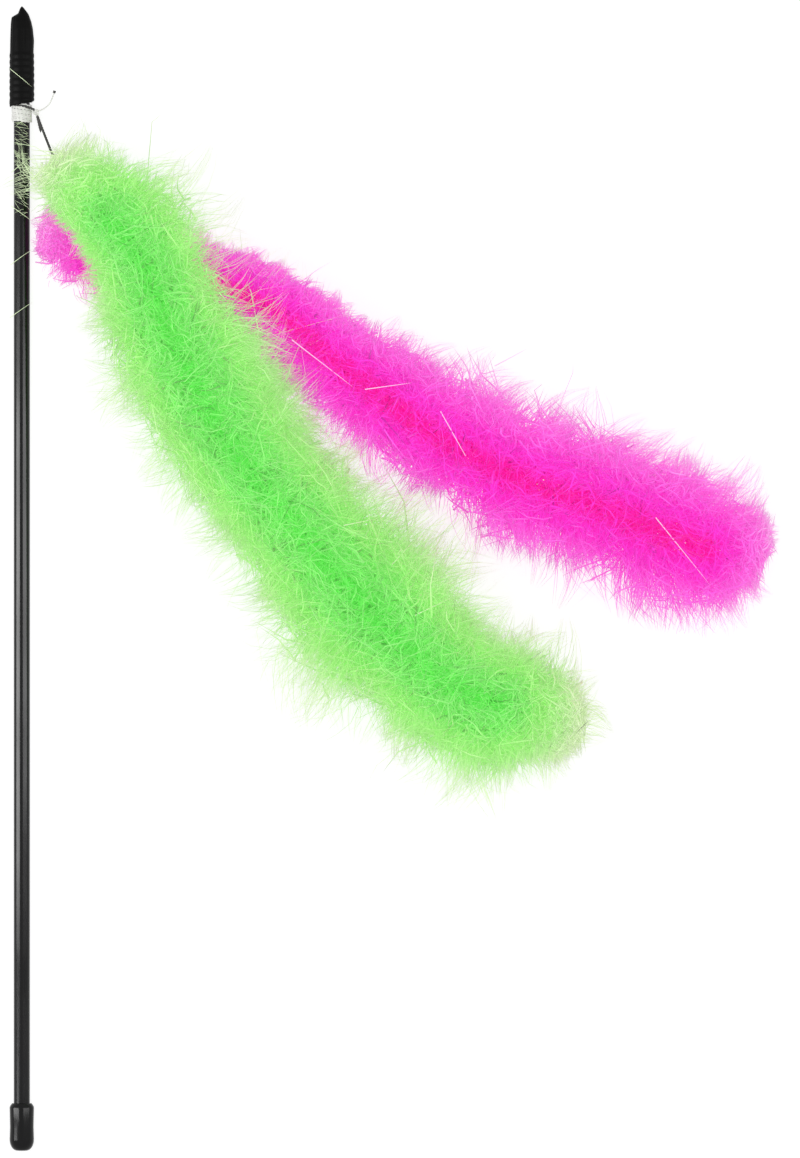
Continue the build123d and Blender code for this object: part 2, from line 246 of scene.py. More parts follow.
# Growth of the down
TUFT_SWEEP = 0.32
FAN_SWEEP = (0.1, 1.65)
BARB_STRAY = 1.6 * MM
REACH_STRAY = 0.14
REACH_LIMITS = (0.3, 1.3)
TUFT_BEND = 0.8
BARB_BEND = 0.3
SWAY = 0.35
SWAY_TURN = 5.0
THICKNESS_SHARES = (0.7, 1.3)
LONG_LUMP = 29 * MM
LONG_LUMP_SIZE = 0.15
SHORT_LUMP = 13 * MM
SHORT_LUMP_SIZE = 0.11
CROWN_ROOM = 10 * MM
END_ROOM = 17.0 * MM
SLOW_SHARE = 0.4
FLOOR_GIVE = 0.08
ROD_NEAR = 0.6 * MM
ROD_CLEAR = 0.7 * MM
WAY_STEP = 4 * MM
PLAN_SKIP = 3
# Directions that no cord and no barb runs along, from which their cross-sections are turned
CORD_ASKEW = np.array((0.31, 0.17, 0.93))
BARB_ASKEW = np.array((0.36, 0.48, 0.8))


class Layer(NamedTuple):
    """One kind of barb on a boa. The barbs stand in tufts, and those of a tuft share a quill."""

    tufts: int
    # Barbs in a tuft
    barbs: int
    # Share of the full reach, and how much it differs from tuft to tuft
    reach: float
    spread: float
    # Shares of the reach between which barbs leave the quill
    leave: tuple
    # Angles round the core, up from the side
    roll: tuple
    # Angle towards the boa's end, and how much both angles differ in a tuft
    sweep: float
    scatter: float
    # How far the tips of a tuft draw together
    clump: float
    curl: float
    droop: float
    thickness: float
    # Columns of the barb map
    shades: tuple


UNDER_DOWN = Layer(
    tufts=2200,
    barbs=9,
    reach=0.72,
    spread=0.16,
    leave=(0.45, 0.82),
    roll=(0.5, 1.57),
    sweep=0.15,
    scatter=0.60,
    clump=0.70,
    curl=1.5,
    droop=0.05,
    thickness=0.95 * MM,
    shades=(4, 30),
)
SIDE_DOWN = Layer(
    tufts=980,
    barbs=22,
    reach=0.80,
    spread=0.24,
    leave=(0.15, 0.50),
    roll=(-0.5, 0.8),
    sweep=0.25,
    scatter=0.30,
    clump=0.75,
    curl=0.4,
    droop=0.10,
    thickness=0.38 * MM,
    shades=(4, 40),
)
LONG_WISPS = Layer(
    tufts=520,
    barbs=14,
    reach=1.08,
    spread=0.24,
    leave=(0.30, 0.60),
    roll=(-0.4, 0.6),
    sweep=0.25,
    scatter=0.26,
    clump=0.86,
    curl=0.3,
    droop=0.12,
    thickness=0.22 * MM,
    shades=(10, 44),
)
PINK_UNDER_DOWN = UNDER_DOWN._replace(
    tufts=1850,
    reach=0.74,
    leave=(0.40, 0.78),
    roll=(0.4, 1.57),
    sweep=0.40,
    scatter=0.46,
    curl=1.0,
    droop=0.08,
    thickness=0.87 * MM,
)
PINK_SIDE_DOWN = SIDE_DOWN._replace(tufts=815, sweep=0.50, scatter=0.28, curl=0.3, thickness=0.40 * MM)
PINK_WISPS = LONG_WISPS._replace(tufts=440, reach=1.04, sweep=0.55, scatter=0.24, curl=0.2)
BOA_LAYERS = {
    "green": [UNDER_DOWN, SIDE_DOWN, LONG_WISPS],
    "pink": [PINK_UNDER_DOWN, PINK_SIDE_DOWN, PINK_WISPS],
}
# Shares of the side reach at each tenth of a boa's length, on its lower and on its upper side
SIDE_PLACES = np.linspace(0, 1, 11)
GREEN_LOWER = (0.24, 0.55, 0.88, 0.88, 0.88, 0.80, 1.00, 1.46, 0.92, 1.20, 0.64)
GREEN_UPPER = (0.80, 1.10, 0.96, 1.55, 1.28, 1.10, 1.30, 1.45, 0.98, 0.80, 0.84)
PINK_LOWER = (0.60, 0.85, 0.90, 0.60, 0.76, 0.90, 0.80, 1.15, 1.02, 1.45, 0.62)
PINK_UPPER = (0.40, 0.45, 0.40, 0.40, 0.45, 0.72, 0.88, 0.95, 0.98, 0.94, 0.62)
BOA_SIDES = {"green": (GREEN_LOWER, GREEN_UPPER), "pink": (PINK_LOWER, PINK_UPPER)}
# Stiff quills on the down, and barbs that cling to the rod and sleeve: both ends seen from above, in mm
QUILLS = {
    "green": [
        ((120.1, 232.8), (131.0, 235.0)),
        ((138.0, 218.4), (147.7, 229.0)),
        ((146.5, 199.6), (165.9, 208.9)),
        ((128.7, 169.4), (131.3, 177.8)),
        ((99.2, 295.4), (114.6, 290.2)),
    ],
    "pink": [
        ((235.3, 235.7), (256.5, 209.6)),
        ((155.9, 274.9), (167.8, 253.7)),
        ((101.0, 301.3), (124.6, 283.1)),
        ((128.0, 283.0), (146.0, 285.5)),
        ((176.0, 292.0), (189.0, 299.0)),
    ],
}
CLINGING_BARBS = [
    ((-4.4, 403.1), (4.2, 396.0)),
    ((-4.2, 330.0), (4.8, 336.4)),
    ((-4.4, 310.3), (4.6, 316.6)),
    ((-4.0, 352.0), (5.0, 345.5)),
    ((-3.8, 364.5), (4.6, 371.0)),
]
CLINGING_DIAMETER = 0.3 * MM
CLINGING_LOW = 0.2
# Fine wisps of down that stick to the rod below the tie, with shares of the rod's radius
WISPS = 70
WISP_STRETCH = 34 * MM
WISP_CROWDING = 1.6
WISP_DIAMETER = 0.14 * MM
WISP_HEADING = math.radians(152)
WISP_SPREAD = 0.45
WISP_ROOTS = (-0.3, 1.1)
WISP_LENGTHS = (0.7, 1.9)
WISP_EDGE = -1.05


class Tufts(NamedTuple):
    """Places of tufts along a boa, their angles and reaches, and how far they fan out at the ends."""

    along: np.ndarray
    roll: np.ndarray
    sweep: np.ndarray
    reach: np.ndarray
    fan: np.ndarray
    near_start: np.ndarray

    def of_barbs(self, tuft):
        """The values of each barb's own tuft."""
        return Tufts(*[part[tuft] for part in self])


class Barbs(NamedTuple):
    """Barbs: centre lines, thicknesses, shades, bleach at each ring and places along the boa."""

    lines: np.ndarray
    thickness: np.ndarray
    shade: np.ndarray
    bleach: np.ndarray
    along: np.ndarray

    def only(self, here):
        """Those barbs that a mask picks."""
        return Barbs(*[part[here] for part in self])


class Spine:
    """The smooth centre line of a boa, with the frame of its cross-section at each place."""

    def __init__(self, points):
        self.points = np.array(points)
        self.along = distances_along(self.points)
        self.length = self.along[-1]

    def place(self, along):
        """Points on the centre line, run on straight past both ends."""
        held = np.clip(along, 0, self.length)
        return self.on_line(held) + self.way(held) * (along - held)[:, None]

    def on_line(self, along):
        """Points between the ends of the centre line."""
        return np.stack([np.interp(along, self.along, axis) for axis in self.points.T], axis=-1)

    def way(self, along):
        """Directions of the centre line."""
        near = np.clip(along, 0, self.length - WAY_STEP)
        return unit(self.on_line(near + WAY_STEP) - self.on_line(near))

    def plan_distance(self, points, before=0.0, after=0.0, aside=0.0):
        """Distances of points from the centre line, cut short and moved aside, seen from above."""
        line = self.points + self.section(self.along)[0] * aside
        inside = line[(self.along >= before) & (self.along <= self.length - after)]
        gaps = [np.linalg.norm(points[..., :2] - place[:2], axis=-1) for place in inside[::PLAN_SKIP]]
        return np.minimum.reduce(gaps)

    def section(self, along):
        """Sideways and upward directions of the cross-section."""
        way = self.way(along)
        side = unit(np.cross(way, np.array(UP)))
        return side, np.cross(side, way)

    def nearest_along(self, point):
        """Distance along the centre line of the place nearest to a point."""
        gaps = np.linalg.norm(self.points - np.array(point), axis=1)
        return self.along[int(gaps.argmin())]


def unit(vectors, least=0.0):
    """Directions of vectors. A least length is added to theirs where some may have none."""
    return vectors / (np.linalg.norm(vectors, axis=-1, keepdims=True) + least)


def cross_section(ways, askew, least=0.0):
    """Two directions square to each way and to each other."""
    across = unit(np.cross(ways, askew), least)
    return across, np.cross(ways, across)


def distances_along(line):
    """Distance of each point of a line from its start."""
    return np.concatenate([[0], np.cumsum(np.linalg.norm(np.diff(line, axis=0), axis=1))])


# Selecting and reading


def deselect_all():
    """Leaves object mode with nothing selected."""
    if bpy.context.object and bpy.context.object.mode != "OBJECT":
        bpy.ops.object.mode_set(mode="OBJECT")
    bpy.ops.object.select_all(action="DESELECT")


def select_only(*objects):
    """Selects these objects, the first of them active."""
    deselect_all()
    for item in objects:
        item.select_set(True)
    bpy.context.view_layer.objects.active = objects[0]


def new_object(name, data):
    """An object in the scene with this data."""
    item = bpy.data.objects.new(name, data)
    bpy.context.scene.collection.objects.link(item)
    return item


def new_curve(name, kind):
    """A curve and its one spline of a kind."""
    curve = bpy.data.curves.new(name, "CURVE")
    curve.dimensions = "3D"
    return curve, curve.splines.new(kind)


def read_line(curve):
    """Points along a curve, as Blender evaluates it."""
    holder = new_object("line", curve)
    mesh = bpy.data.meshes.new_from_object(holder)
    points = [vertex.co.copy() for vertex in mesh.vertices]
    bpy.data.objects.remove(holder)
    bpy.data.meshes.remove(mesh)
    bpy.data.curves.remove(curve)
    return points


def cord_line(points, resolution=12):
    """A smooth line with the route's points as control points."""
    curve, spline = new_curve("cord_line", "NURBS")
    spline.points.add(len(points) - 1)
    for control, point in zip(spline.points, points):
        control.co = (*point, 1)
    spline.order_u = 3
    spline.use_endpoint_u = True
    spline.resolution_u = resolution
    return read_line(curve)


def hinge_line(points, resolution=24):
    """A smooth line that passes through each hinge of a boa."""
    curve, spline = new_curve("hinge_line", "BEZIER")
    spline.bezier_points.add(len(points) - 1)
    for control, point in zip(spline.bezier_points, points):
        control.co = point
        control.handle_left_type = "AUTO"
        control.handle_right_type = "AUTO"
    spline.resolution_u = resolution
    return read_line(curve)


def boa_hinges(colour):
    """Hinge points of a boa, from its start knot to its end knot."""
    joints = [joint for joint in frame["joints"] if joint["child"].startswith(f"{colour}_link")]
    end_knot = sum(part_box(f"{colour}_end_knot"), Vector()) / 2
    return [Vector(joint["pos_m"]) for joint in joints] + [end_knot]


def link_middles(colour):
    """Middle points of a boa's links."""
    hinges = boa_hinges(colour)
    return [(first + second) / 2 for first, second in zip(hinges, hinges[1:])]


# Node helpers


def new_material(name):
    """An empty material with its shader, and its nodes and links."""
    material = bpy.data.materials.new(name)
    material.use_nodes = True
    return material, material.node_tree.nodes, material.node_tree.links


def new_group(name, colours, numbers, results):
    """A node group fed by colours and numbers, which gives a colour and the numbers that result."""
    group = bpy.data.node_groups.new(name, "ShaderNodeTree")
    sockets = [
        ("INPUT", "NodeSocketColor", colours),
        ("INPUT", "NodeSocketFloat", numbers),
        ("OUTPUT", "NodeSocketColor", ["Colour"]),
        ("OUTPUT", "NodeSocketFloat", results),
    ]
    for in_out, kind, names in sockets:
        for socket_name in names:
            group.interface.new_socket(socket_name, in_out=in_out, socket_type=kind)
    source = group.nodes.new("NodeGroupInput")
    target = group.nodes.new("NodeGroupOutput")
    return group, source.outputs, target.inputs


def feed(tree, sockets, values):
    """Links each socket to the value that it is given, or sets it to that value."""
    for socket, value in zip(sockets, values):
        if isinstance(value, bpy.types.NodeSocket):
            tree.links.new(value, socket)
        else:
            socket.default_value = value


def add_math(tree, operation, first, second):
    """A math node fed by sockets or numbers."""
    node = tree.nodes.new("ShaderNodeMath")
    node.operation = operation
    feed(tree, node.inputs, (first, second))
    return node.outputs[0]


def add_change(tree, noise, size):
    """Turns a noise about one half into a change about zero."""
    return add_math(tree, "MULTIPLY", add_math(tree, "SUBTRACT", noise, 0.5), size)


def add_range(tree, noise, low, size):
    """Spreads a noise over a range that begins at a low value."""
    return add_math(tree, "ADD", add_math(tree, "MULTIPLY", noise, size), low)


def add_mix(tree, factor, first, second, blend="MIX"):
    """A colour mix node fed by sockets or colours."""
    node = tree.nodes.new("ShaderNodeMix")
    node.data_type = "RGBA"
    node.blend_type = blend
    feed(tree, (node.inputs[0], node.inputs[6], node.inputs[7]), (factor, first, second))
    return node.outputs[2]


def add_noise(tree, vector, scale, detail, stretch=(1, 1, 1)):
    """A noise node on stretched coordinates."""
    mapping = tree.nodes.new("ShaderNodeMapping")
    mapping.inputs["Scale"].default_value = stretch
    tree.links.new(vector, mapping.inputs["Vector"])
    noise = tree.nodes.new("ShaderNodeTexNoise")
    noise.inputs["Scale"].default_value = scale
    noise.inputs["Detail"].default_value = detail
    tree.links.new(mapping.outputs[0], noise.inputs["Vector"])
    return noise.outputs[0]


def plastic_wear_group():
    """Lengthwise drawing lines, fine grain and dust on black plastic."""
    colours, numbers = ("Colour", "Dust Colour"), ("Dust", "Roughness", "Line Scale", "Grain Scale")
    group, given, result = new_group("plastic_wear", colours, numbers, ("Roughness", "Height"))
    coordinates = group.nodes.new("ShaderNodeTexCoord").outputs["Object"]
    lines = add_noise(group, coordinates, scale=900.0, detail=2.0, stretch=(1, 0.02, 1))
    grain = add_noise(group, coordinates, scale=2600.0, detail=3.0)
    patches = add_noise(group, coordinates, scale=90.0, detail=5.0, stretch=(1, 0.35, 1))
    line_part = add_math(group, "MULTIPLY", lines, given["Line Scale"])
    grain_part = add_math(group, "MULTIPLY", grain, given["Grain Scale"])
    height = add_math(group, "ADD", line_part, grain_part)
    dust_place = add_math(group, "GREATER_THAN", patches, DUST_EDGE)
    dust_amount = add_math(group, "MULTIPLY", add_math(group, "MULTIPLY", patches, dust_place), grain)
    dust = add_math(group, "MULTIPLY", dust_amount, given["Dust"])
    colour = add_mix(group, dust, given["Colour"], given["Dust Colour"])
    roughness = add_math(group, "ADD", given["Roughness"], add_change(group, patches, size=0.3))
    group.links.new(colour, result["Colour"])
    group.links.new(roughness, result["Roughness"])
    group.links.new(height, result["Height"])


def fibre_group():
    """Fine lengthwise fibres of a spun string, with lighter and darker stretches."""
    colours, numbers = ("Colour", "Fibre Colour"), ("Amount",)
    group, given, result = new_group("spun_fibre", colours, numbers, ("Roughness", "Height"))
    coordinates = group.nodes.new("ShaderNodeTexCoord").outputs["Object"]
    fibres = add_noise(group, coordinates, scale=5200.0, detail=4.0)
    stretches = add_noise(group, coordinates, scale=420.0, detail=2.0)
    amount = add_math(group, "MULTIPLY", fibres, given["Amount"])
    colour = add_mix(group, amount, given["Colour"], given["Fibre Colour"])
    group.links.new(add_mix(group, FIBRE_SHADE, colour, stretches, "MULTIPLY"), result["Colour"])
    group.links.new(add_range(group, stretches, low=0.65, size=0.2), result["Roughness"])
    group.links.new(fibres, result["Height"])


def barb_group():
    """Dyed down: deep at the core, bright in the middle and pale far out, uneven from barb to barb. The ramp
    is partly the dye's own fade and partly painted light: the deep core for light scattered among the barbs,
    the pale ends for light shining through them. Short dark barbs near the core are painted shade in the
    gaps between tufts.
    """
    colours = ("Root", "Middle", "Outer", "Tip", "Quill")
    group, given, result = new_group("dyed_barb", colours, (), ("Roughness",))
    barb_map = group.nodes.new("ShaderNodeUVMap")
    barb_map.uv_map = BARB_MAP
    split = group.nodes.new("ShaderNodeSeparateXYZ")
    group.links.new(barb_map.outputs[0], split.inputs[0])
    across, distance, _ = split.outputs
    column = add_math(group, "FLOOR", add_math(group, "MULTIPLY", across, SHADES), 0)
    noise = group.nodes.new("ShaderNodeTexWhiteNoise")
    noise.noise_dimensions = "1D"
    group.links.new(column, noise.inputs["W"])
    chance = noise.outputs["Value"]
    far = add_math(group, "ADD", distance, add_change(group, chance, size=0.16))
    colour = given["Root"]
    for name, start, end in DYE_RAMPS:
        ramp = group.nodes.new("ShaderNodeMapRange")
        ramp.interpolation_type = "SMOOTHSTEP"
        ramp.inputs["From Min"].default_value = start
        ramp.inputs["From Max"].default_value = end
        group.links.new(far, ramp.inputs["Value"])
        colour = add_mix(group, ramp.outputs["Result"], colour, given[name])
    # Painted shade: barbs of the first columns are darkened near the core, as the shadow in the gaps between
    # tufts
    is_shadow_speck = add_math(group, "LESS_THAN", column, SHADOW_SPECK_SHADES - 0.5)
    is_near = add_math(group, "LESS_THAN", distance, SHADOW_SPECK_REACH)
    painted_speck_shade = add_math(group, "MULTIPLY", add_math(group, "MULTIPLY", is_shadow_speck, is_near), SHADOW_SPECK_DEPTH)
    depth = add_math(group, "SUBTRACT", 1.0, painted_speck_shade)
    light = add_range(group, chance, low=0.88, size=0.12)
    colour = add_mix(group, 1.0, colour, add_math(group, "MULTIPLY", light, depth), "MULTIPLY")
    is_quill = add_math(group, "GREATER_THAN", column, QUILL_SHADE - 0.5)
    group.links.new(add_mix(group, is_quill, colour, given["Quill"]), result["Colour"])
    group.links.new(add_range(group, chance, low=0.5, size=0.2), result["Roughness"])


def grouped_material(name, group, **values):
    """A material's node tree, its shader's inputs and the outputs of the group that gives its roughness."""
    material, nodes, links = new_material(name)
    node = nodes.new("ShaderNodeGroup")
    node.node_tree = bpy.data.node_groups[group]
    for socket_name, value in values.items():
        socket = node.inputs[socket_name.replace("_", " ")]
        socket.default_value = (*value, 1) if socket.type == "RGBA" else value
    shader = nodes["Principled BSDF"].inputs
    links.new(node.outputs["Roughness"], shader["Roughness"])
    return material.node_tree, shader, node.outputs


def bump_from(tree, height, strength, distance):
    """Links a height to the shader's normal."""
    bump = tree.nodes.new("ShaderNodeBump")
    bump.inputs["Strength"].default_value = strength
    bump.inputs["Distance"].default_value = distance
    tree.links.new(height, bump.inputs["Height"])
    tree.links.new(bump.outputs[0], tree.nodes["Principled BSDF"].inputs["Normal"])


def plastic_material(name, colour, shine, roughness, lines, grain, bump):
    """Black plastic with drawing lines, grain and dust."""
    tree, shader, wear = grouped_material(
        name,
        "plastic_wear",
        Colour=colour,
        Dust_Colour=DUST_COLOUR,
        Dust=DUST,
        Roughness=roughness,
        Line_Scale=lines,
        Grain_Scale=grain,
    )
    shader["Specular IOR Level"].default_value = shine
    tree.links.new(wear["Colour"], shader["Base Color"])
    bump_from(tree, wear["Height"], bump, PLASTIC_RELIEF)


def fibre_material(name, colour, fibre_colour, amount):
    """Spun string or thread."""
    tree, shader, fibre = grouped_material(
        name, "spun_fibre", Colour=colour, Fibre_Colour=fibre_colour, Amount=amount
    )
    shader["Sheen Weight"].default_value = FIBRE_SHEEN
    tree.links.new(fibre["Colour"], shader["Base Color"])
    bump_from(tree, fibre["Height"], FIBRE_BUMP, FIBRE_RELIEF)


def barb_material(name, settings):
    """Dyed down of one boa, with a painted glow: it emits its own colour, which lifts the shade among its
    barbs.
    """
    tree, shader, barb = grouped_material(
        name,
        "dyed_barb",
        Root=settings.root_colour,
        Middle=settings.middle_colour,
        Outer=settings.outer_colour,
        Tip=settings.tip_colour,
        Quill=settings.quill_colour,
    )
    shader["Sheen Weight"].default_value = DOWN_SHEEN
    shader["Specular IOR Level"].default_value = DOWN_SHINE
    # Painted glow: the down emits its own colour to lift the shade among its barbs, and its lit colour is
    # cut to match
    lit = add_mix(tree, 1.0, barb["Colour"], (LIT_SHARE_BESIDE_PAINTED_GLOW, LIT_SHARE_BESIDE_PAINTED_GLOW, LIT_SHARE_BESIDE_PAINTED_GLOW, 1), "MULTIPLY")
    tree.links.new(lit, shader["Base Color"])
    tree.links.new(barb["Colour"], shader["Emission Color"])
    shader["Emission Strength"].default_value = settings.glow


# Modelling helpers


def lathe(name, profile, segments):
    """Spins an outline of radius and distance along the rod into a closed shell round the rod's axis."""
    mesh = bpy.data.meshes.new(name)
    points = [(radius, along, 0) for radius, along in profile]
    mesh.from_pydata(points, [(i, i + 1) for i in range(len(points) - 1)], [])
    piece = new_object(name, mesh)
    select_only(piece)
    bpy.ops.object.mode_set(mode="EDIT")
    bpy.ops.mesh.select_all(action="SELECT")
    bpy.ops.mesh.spin(steps=segments, angle=2 * math.pi, center=(0, 0, 0), axis=(0, 1, 0))
    bpy.ops.mesh.select_all(action="SELECT")
    bpy.ops.mesh.remove_doubles(threshold=WELD)
    bpy.ops.mesh.normals_make_consistent(inside=False)
    bpy.ops.object.mode_set(mode="OBJECT")
    bpy.ops.object.shade_smooth()
    return piece


def strand_tube(name, points, radius, sides=STRAND_SIDES):
    """A round strand along points, closed at both ends, as a mesh."""
    curve, spline = new_curve(name, "POLY")
    curve.bevel_depth = radius
    curve.bevel_resolution = max(0, sides // 2 - 2)
    curve.use_fill_caps = True
    spline.points.add(len(points) - 1)
    for control, point in zip(spline.points, points):
        control.co = (*point, 1)
    select_only(new_object(name, curve))
    bpy.ops.object.convert(target="MESH")
    bpy.ops.object.shade_smooth()
    return bpy.context.object


def twisted_cord(name, points, diameter, plies, sides=STRAND_SIDES):
    """A cord of plies that twist round the line through the points."""
    line = np.array(points)
    along = distances_along(line)
    across, square = cross_section(unit(np.gradient(line, axis=0)), CORD_ASKEW)
    ply_radius = diameter / 2 / (1 + 1 / math.sin(math.pi / plies)) * PLY_SQUASH
    offset = diameter / 2 - ply_radius
    strands = []
    for ply in range(plies):
        turn = 2 * math.pi * (ply / plies + along / (PLY_TURN * diameter))
        centre = line + offset * (np.cos(turn)[:, None] * across + np.sin(turn)[:, None] * square)
        strands.append(strand_tube(f"{name}_{ply}", centre, ply_radius, sides))
    select_only(*strands)
    bpy.ops.object.join()
    cord = bpy.context.object
    cord.name = name
    cord.data.name = name
    return cord


def finer(points, step):
    """The same line with points at an even, finer step."""
    line = np.array(points)
    along = distances_along(line)
    places = np.linspace(0, along[-1], max(2, int(along[-1] / step)))
    return np.stack([np.interp(places, along, axis) for axis in line.T], axis=-1)


def knot_line(centre, radius, turn):
    """A trefoil, pulled tight, as the line of an overhand knot."""
    angle = np.linspace(0, 2 * math.pi, KNOT_POINTS)
    x = np.sin(angle) + 2 * np.sin(2 * angle)
    y = np.cos(angle) - 2 * np.cos(2 * angle)
    z = -TREFOIL_RISE * np.sin(3 * angle)
    x, y = x * math.cos(turn) - y * math.sin(turn), x * math.sin(turn) + y * math.cos(turn)
    return np.array(centre) + np.stack([x, y, z], axis=-1) * radius / TREFOIL_SIZE


def overhand_knot(name, centre, radius, strand, turn=0.0):
    """A small tight knot of a round strand."""
    return strand_tube(name, knot_line(centre, radius - strand, turn), strand, KNOT_SIDES)


def finish_piece(piece, material, slot, *nodes):
    """Gives a piece its finish and hides the nodes that it stands for."""
    piece.data.materials.clear()
    piece.data.materials.append(material)
    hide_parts(*nodes)
    return piece


def finish_bend(piece, material, slot, colour, kind, link, middles):
    """Finishes the piece over the bend after a link, which at the last bend stands for both links."""
    links = len(middles)
    numbers = [link, links] if link == links - 1 else [link]
    finish_piece(piece, material, slot, *[f"{colour}_{kind}_{number}" for number in numbers])
    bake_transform(piece)


# Barbs


def place_tufts(rng, spine, layer, settings):
    """The tufts of one layer, fanned out at both ends of the boa."""
    along = rng.uniform(-settings.start_fan / 2, spine.length + settings.end_fan / 2, layer.tufts)
    along = np.clip(along, 0, spine.length)
    roll = rng.uniform(*layer.roll, layer.tufts)
    roll = np.where(rng.random(layer.tufts) < 0.5, roll, math.pi - roll)
    sweep = rng.normal(layer.sweep, TUFT_SWEEP, layer.tufts)
    reach = rng.normal(1, layer.spread, layer.tufts) * lumps(along, roll, settings.seed)
    near_start = np.clip(1 - along / settings.end_fan, 0, 1)
    near_end = np.clip(1 - (spine.length - along) / settings.end_fan, 0, 1)
    fan = near_end - near_start
    sweep = sweep * (1 - abs(fan)) + fan * rng.uniform(*FAN_SWEEP, layer.tufts)
    return Tufts(along, roll, sweep, reach, fan, near_start)


def full_reach(roll, sweep, side_reach, height, past_end, fan):
    """How far full down reaches: an oval round the core, which is drawn out at both ends."""
    across = 1 / np.sqrt((np.cos(roll) / side_reach) ** 2 + (np.sin(roll) / height) ** 2)
    endwise = across + (past_end - across) * abs(fan)
    return 1 / np.sqrt((np.cos(sweep) / across) ** 2 + (np.sin(sweep) / endwise) ** 2)


def curled_lines(root, heading, bend, reach, phase):
    """Centre lines of barbs that bend and sway on their way out."""
    wave = np.cross(heading, bend)
    lines = np.empty((len(root), BARB_RINGS + 1, 3))
    for ring, share in enumerate(ring_places(BARB_RINGS)):
        sway = np.sin(phase + share * SWAY_TURN) - np.sin(phase)
        lines[:, ring] = root + reach[:, None] * (
            share * heading + share**2 * bend + SWAY * share * sway[:, None] * wave
        )
    return lines


def grow_layer(rng, spine, layer, half_height, sides, settings):
    """The barbs of one layer."""
    tuft = np.repeat(np.arange(layer.tufts), layer.barbs)
    own = place_tufts(rng, spine, layer, settings).of_barbs(tuft)
    count = len(tuft)
    along = np.clip(own.along + rng.normal(0, BARB_STRAY, count), 0, spine.length)
    roll = own.roll + rng.normal(0, layer.scatter, count)
    sweep = own.sweep + rng.normal(0, layer.scatter, count)
    side, up = spine.section(along)
    out = np.cos(roll)[:, None] * side + np.sin(roll)[:, None] * up
    heading = np.cos(sweep)[:, None] * out + np.sin(sweep)[:, None] * spine.way(along)
    lower, upper = [np.interp(along / spine.length, SIDE_PLACES, shares) for shares in sides]
    width = np.where(np.cos(roll) > 0, lower, upper)
    past_end = np.where(own.fan > 0, settings.end_reach, settings.start_reach)
    reach = full_reach(roll, sweep, settings.side_reach * width, half_height(along), past_end, own.fan)
    reach = reach * layer.reach * np.clip(own.reach + rng.normal(0, REACH_STRAY, count), *REACH_LIMITS)
    bend = rng.normal(0, 1, (layer.tufts, 3))[tuft] * TUFT_BEND + rng.normal(0, BARB_BEND, (count, 3))
    bend -= (bend * heading).sum(1, keepdims=True) * heading
    bend = bend * layer.curl
    bend[:, 2] -= layer.droop + settings.start_droop * own.near_start
    phase = rng.uniform(0, 2 * math.pi, count)
    leave = rng.uniform(*layer.leave, count)
    leave[:: layer.barbs] = 0
    # Painted shade: some short barbs take dark columns, as the shadow in the gaps between tufts
    is_shadow_speck = (leave > SHADOW_SPECK_LEAVE) & (rng.random(count) < settings.shadow_speck_share)
    root = spine.place(along) + out * settings.core_radius + heading * (reach * leave)[:, None]
    reach = reach * (1 - leave) * np.where(is_shadow_speck, SHADOW_SPECK_LENGTH, 1)
    lines = curled_lines(root, heading, bend, reach, phase)
    locks = lines.reshape(layer.tufts, layer.barbs, *lines.shape[1:]).mean(axis=1)
    lines += layer.clump * ring_places(BARB_RINGS)[None, :, None] * (locks[tuft] - lines)
    settle(lines, settings.lift)
    thickness = layer.thickness * rng.uniform(*THICKNESS_SHARES, count) * np.where(leave > 0, 1, QUILL_SHARE)
    shade = rng.integers(*layer.shades, layer.tufts)[tuft]
    shade = shade + rng.integers(-SHADE_STRAY, SHADE_STRAY + 1, count)
    shade = np.clip(shade, layer.shades[0], layer.shades[1] - 1)
    shade = np.where(is_shadow_speck, rng.integers(0, SHADOW_SPECK_SHADES, count), shade)
    # Partly painted light: the colour pales with the distance from the deepest dye seen from above, for
    # light scattered in the deep core and shining through the ends, besides the dye's own fade
    mean_width = np.mean(sides)
    width = np.sqrt((width + (mean_width - width) * abs(own.fan)) / mean_width)
    distance = spine.plan_distance(lines, settings.deep_start, settings.deep_end, settings.deep_aside)
    bleach = np.clip(distance / (BARB_SPAN * width[:, None]), 0, 1)
    return Barbs(lines, thickness, shade, bleach, along)


def lumps(along, roll, seed):
    """Uneven fullness of the down along a boa and round it."""
    phase = np.random.default_rng(seed).uniform(0, 2 * math.pi, 2)
    long_lumps = np.sin(2 * math.pi * along / LONG_LUMP + 2 * roll + phase[0])
    short_lumps = np.sin(2 * math.pi * along / SHORT_LUMP - roll + phase[1])
    return 1 + LONG_LUMP_SIZE * long_lumps + SHORT_LUMP_SIZE * short_lumps


def ring_places(rings):
    """Shares of a barb's length at which it has a ring, with its tip last."""
    return np.linspace(0, 1, rings + 1) ** RING_CROWDING


def soft_limit(values, edge, room):
    """Slows what runs well past an edge, so that it ends within the room beyond."""
    slow = SLOW_SHARE * room
    start = edge + room - slow
    return np.where(values > start, start + slow * np.tanh((values - start) / slow), values)


def straight_lines(ends):
    """Centre lines of straight barbs between ends seen from above, with no height yet."""
    plan = ends[:, :1] + (ends[:, 1:] - ends[:, :1]) * ring_places(QUILL_RINGS)[None, :, None]
    return np.concatenate([plan, np.zeros((*plan.shape[:2], 1))], axis=-1)


def quill_barbs(lines, thickness, along):
    """Barbs of the quills' colour."""
    shade = np.full(len(lines), QUILL_SHADE)
    return Barbs(lines, thickness, shade, np.ones(lines.shape[:2]), along)


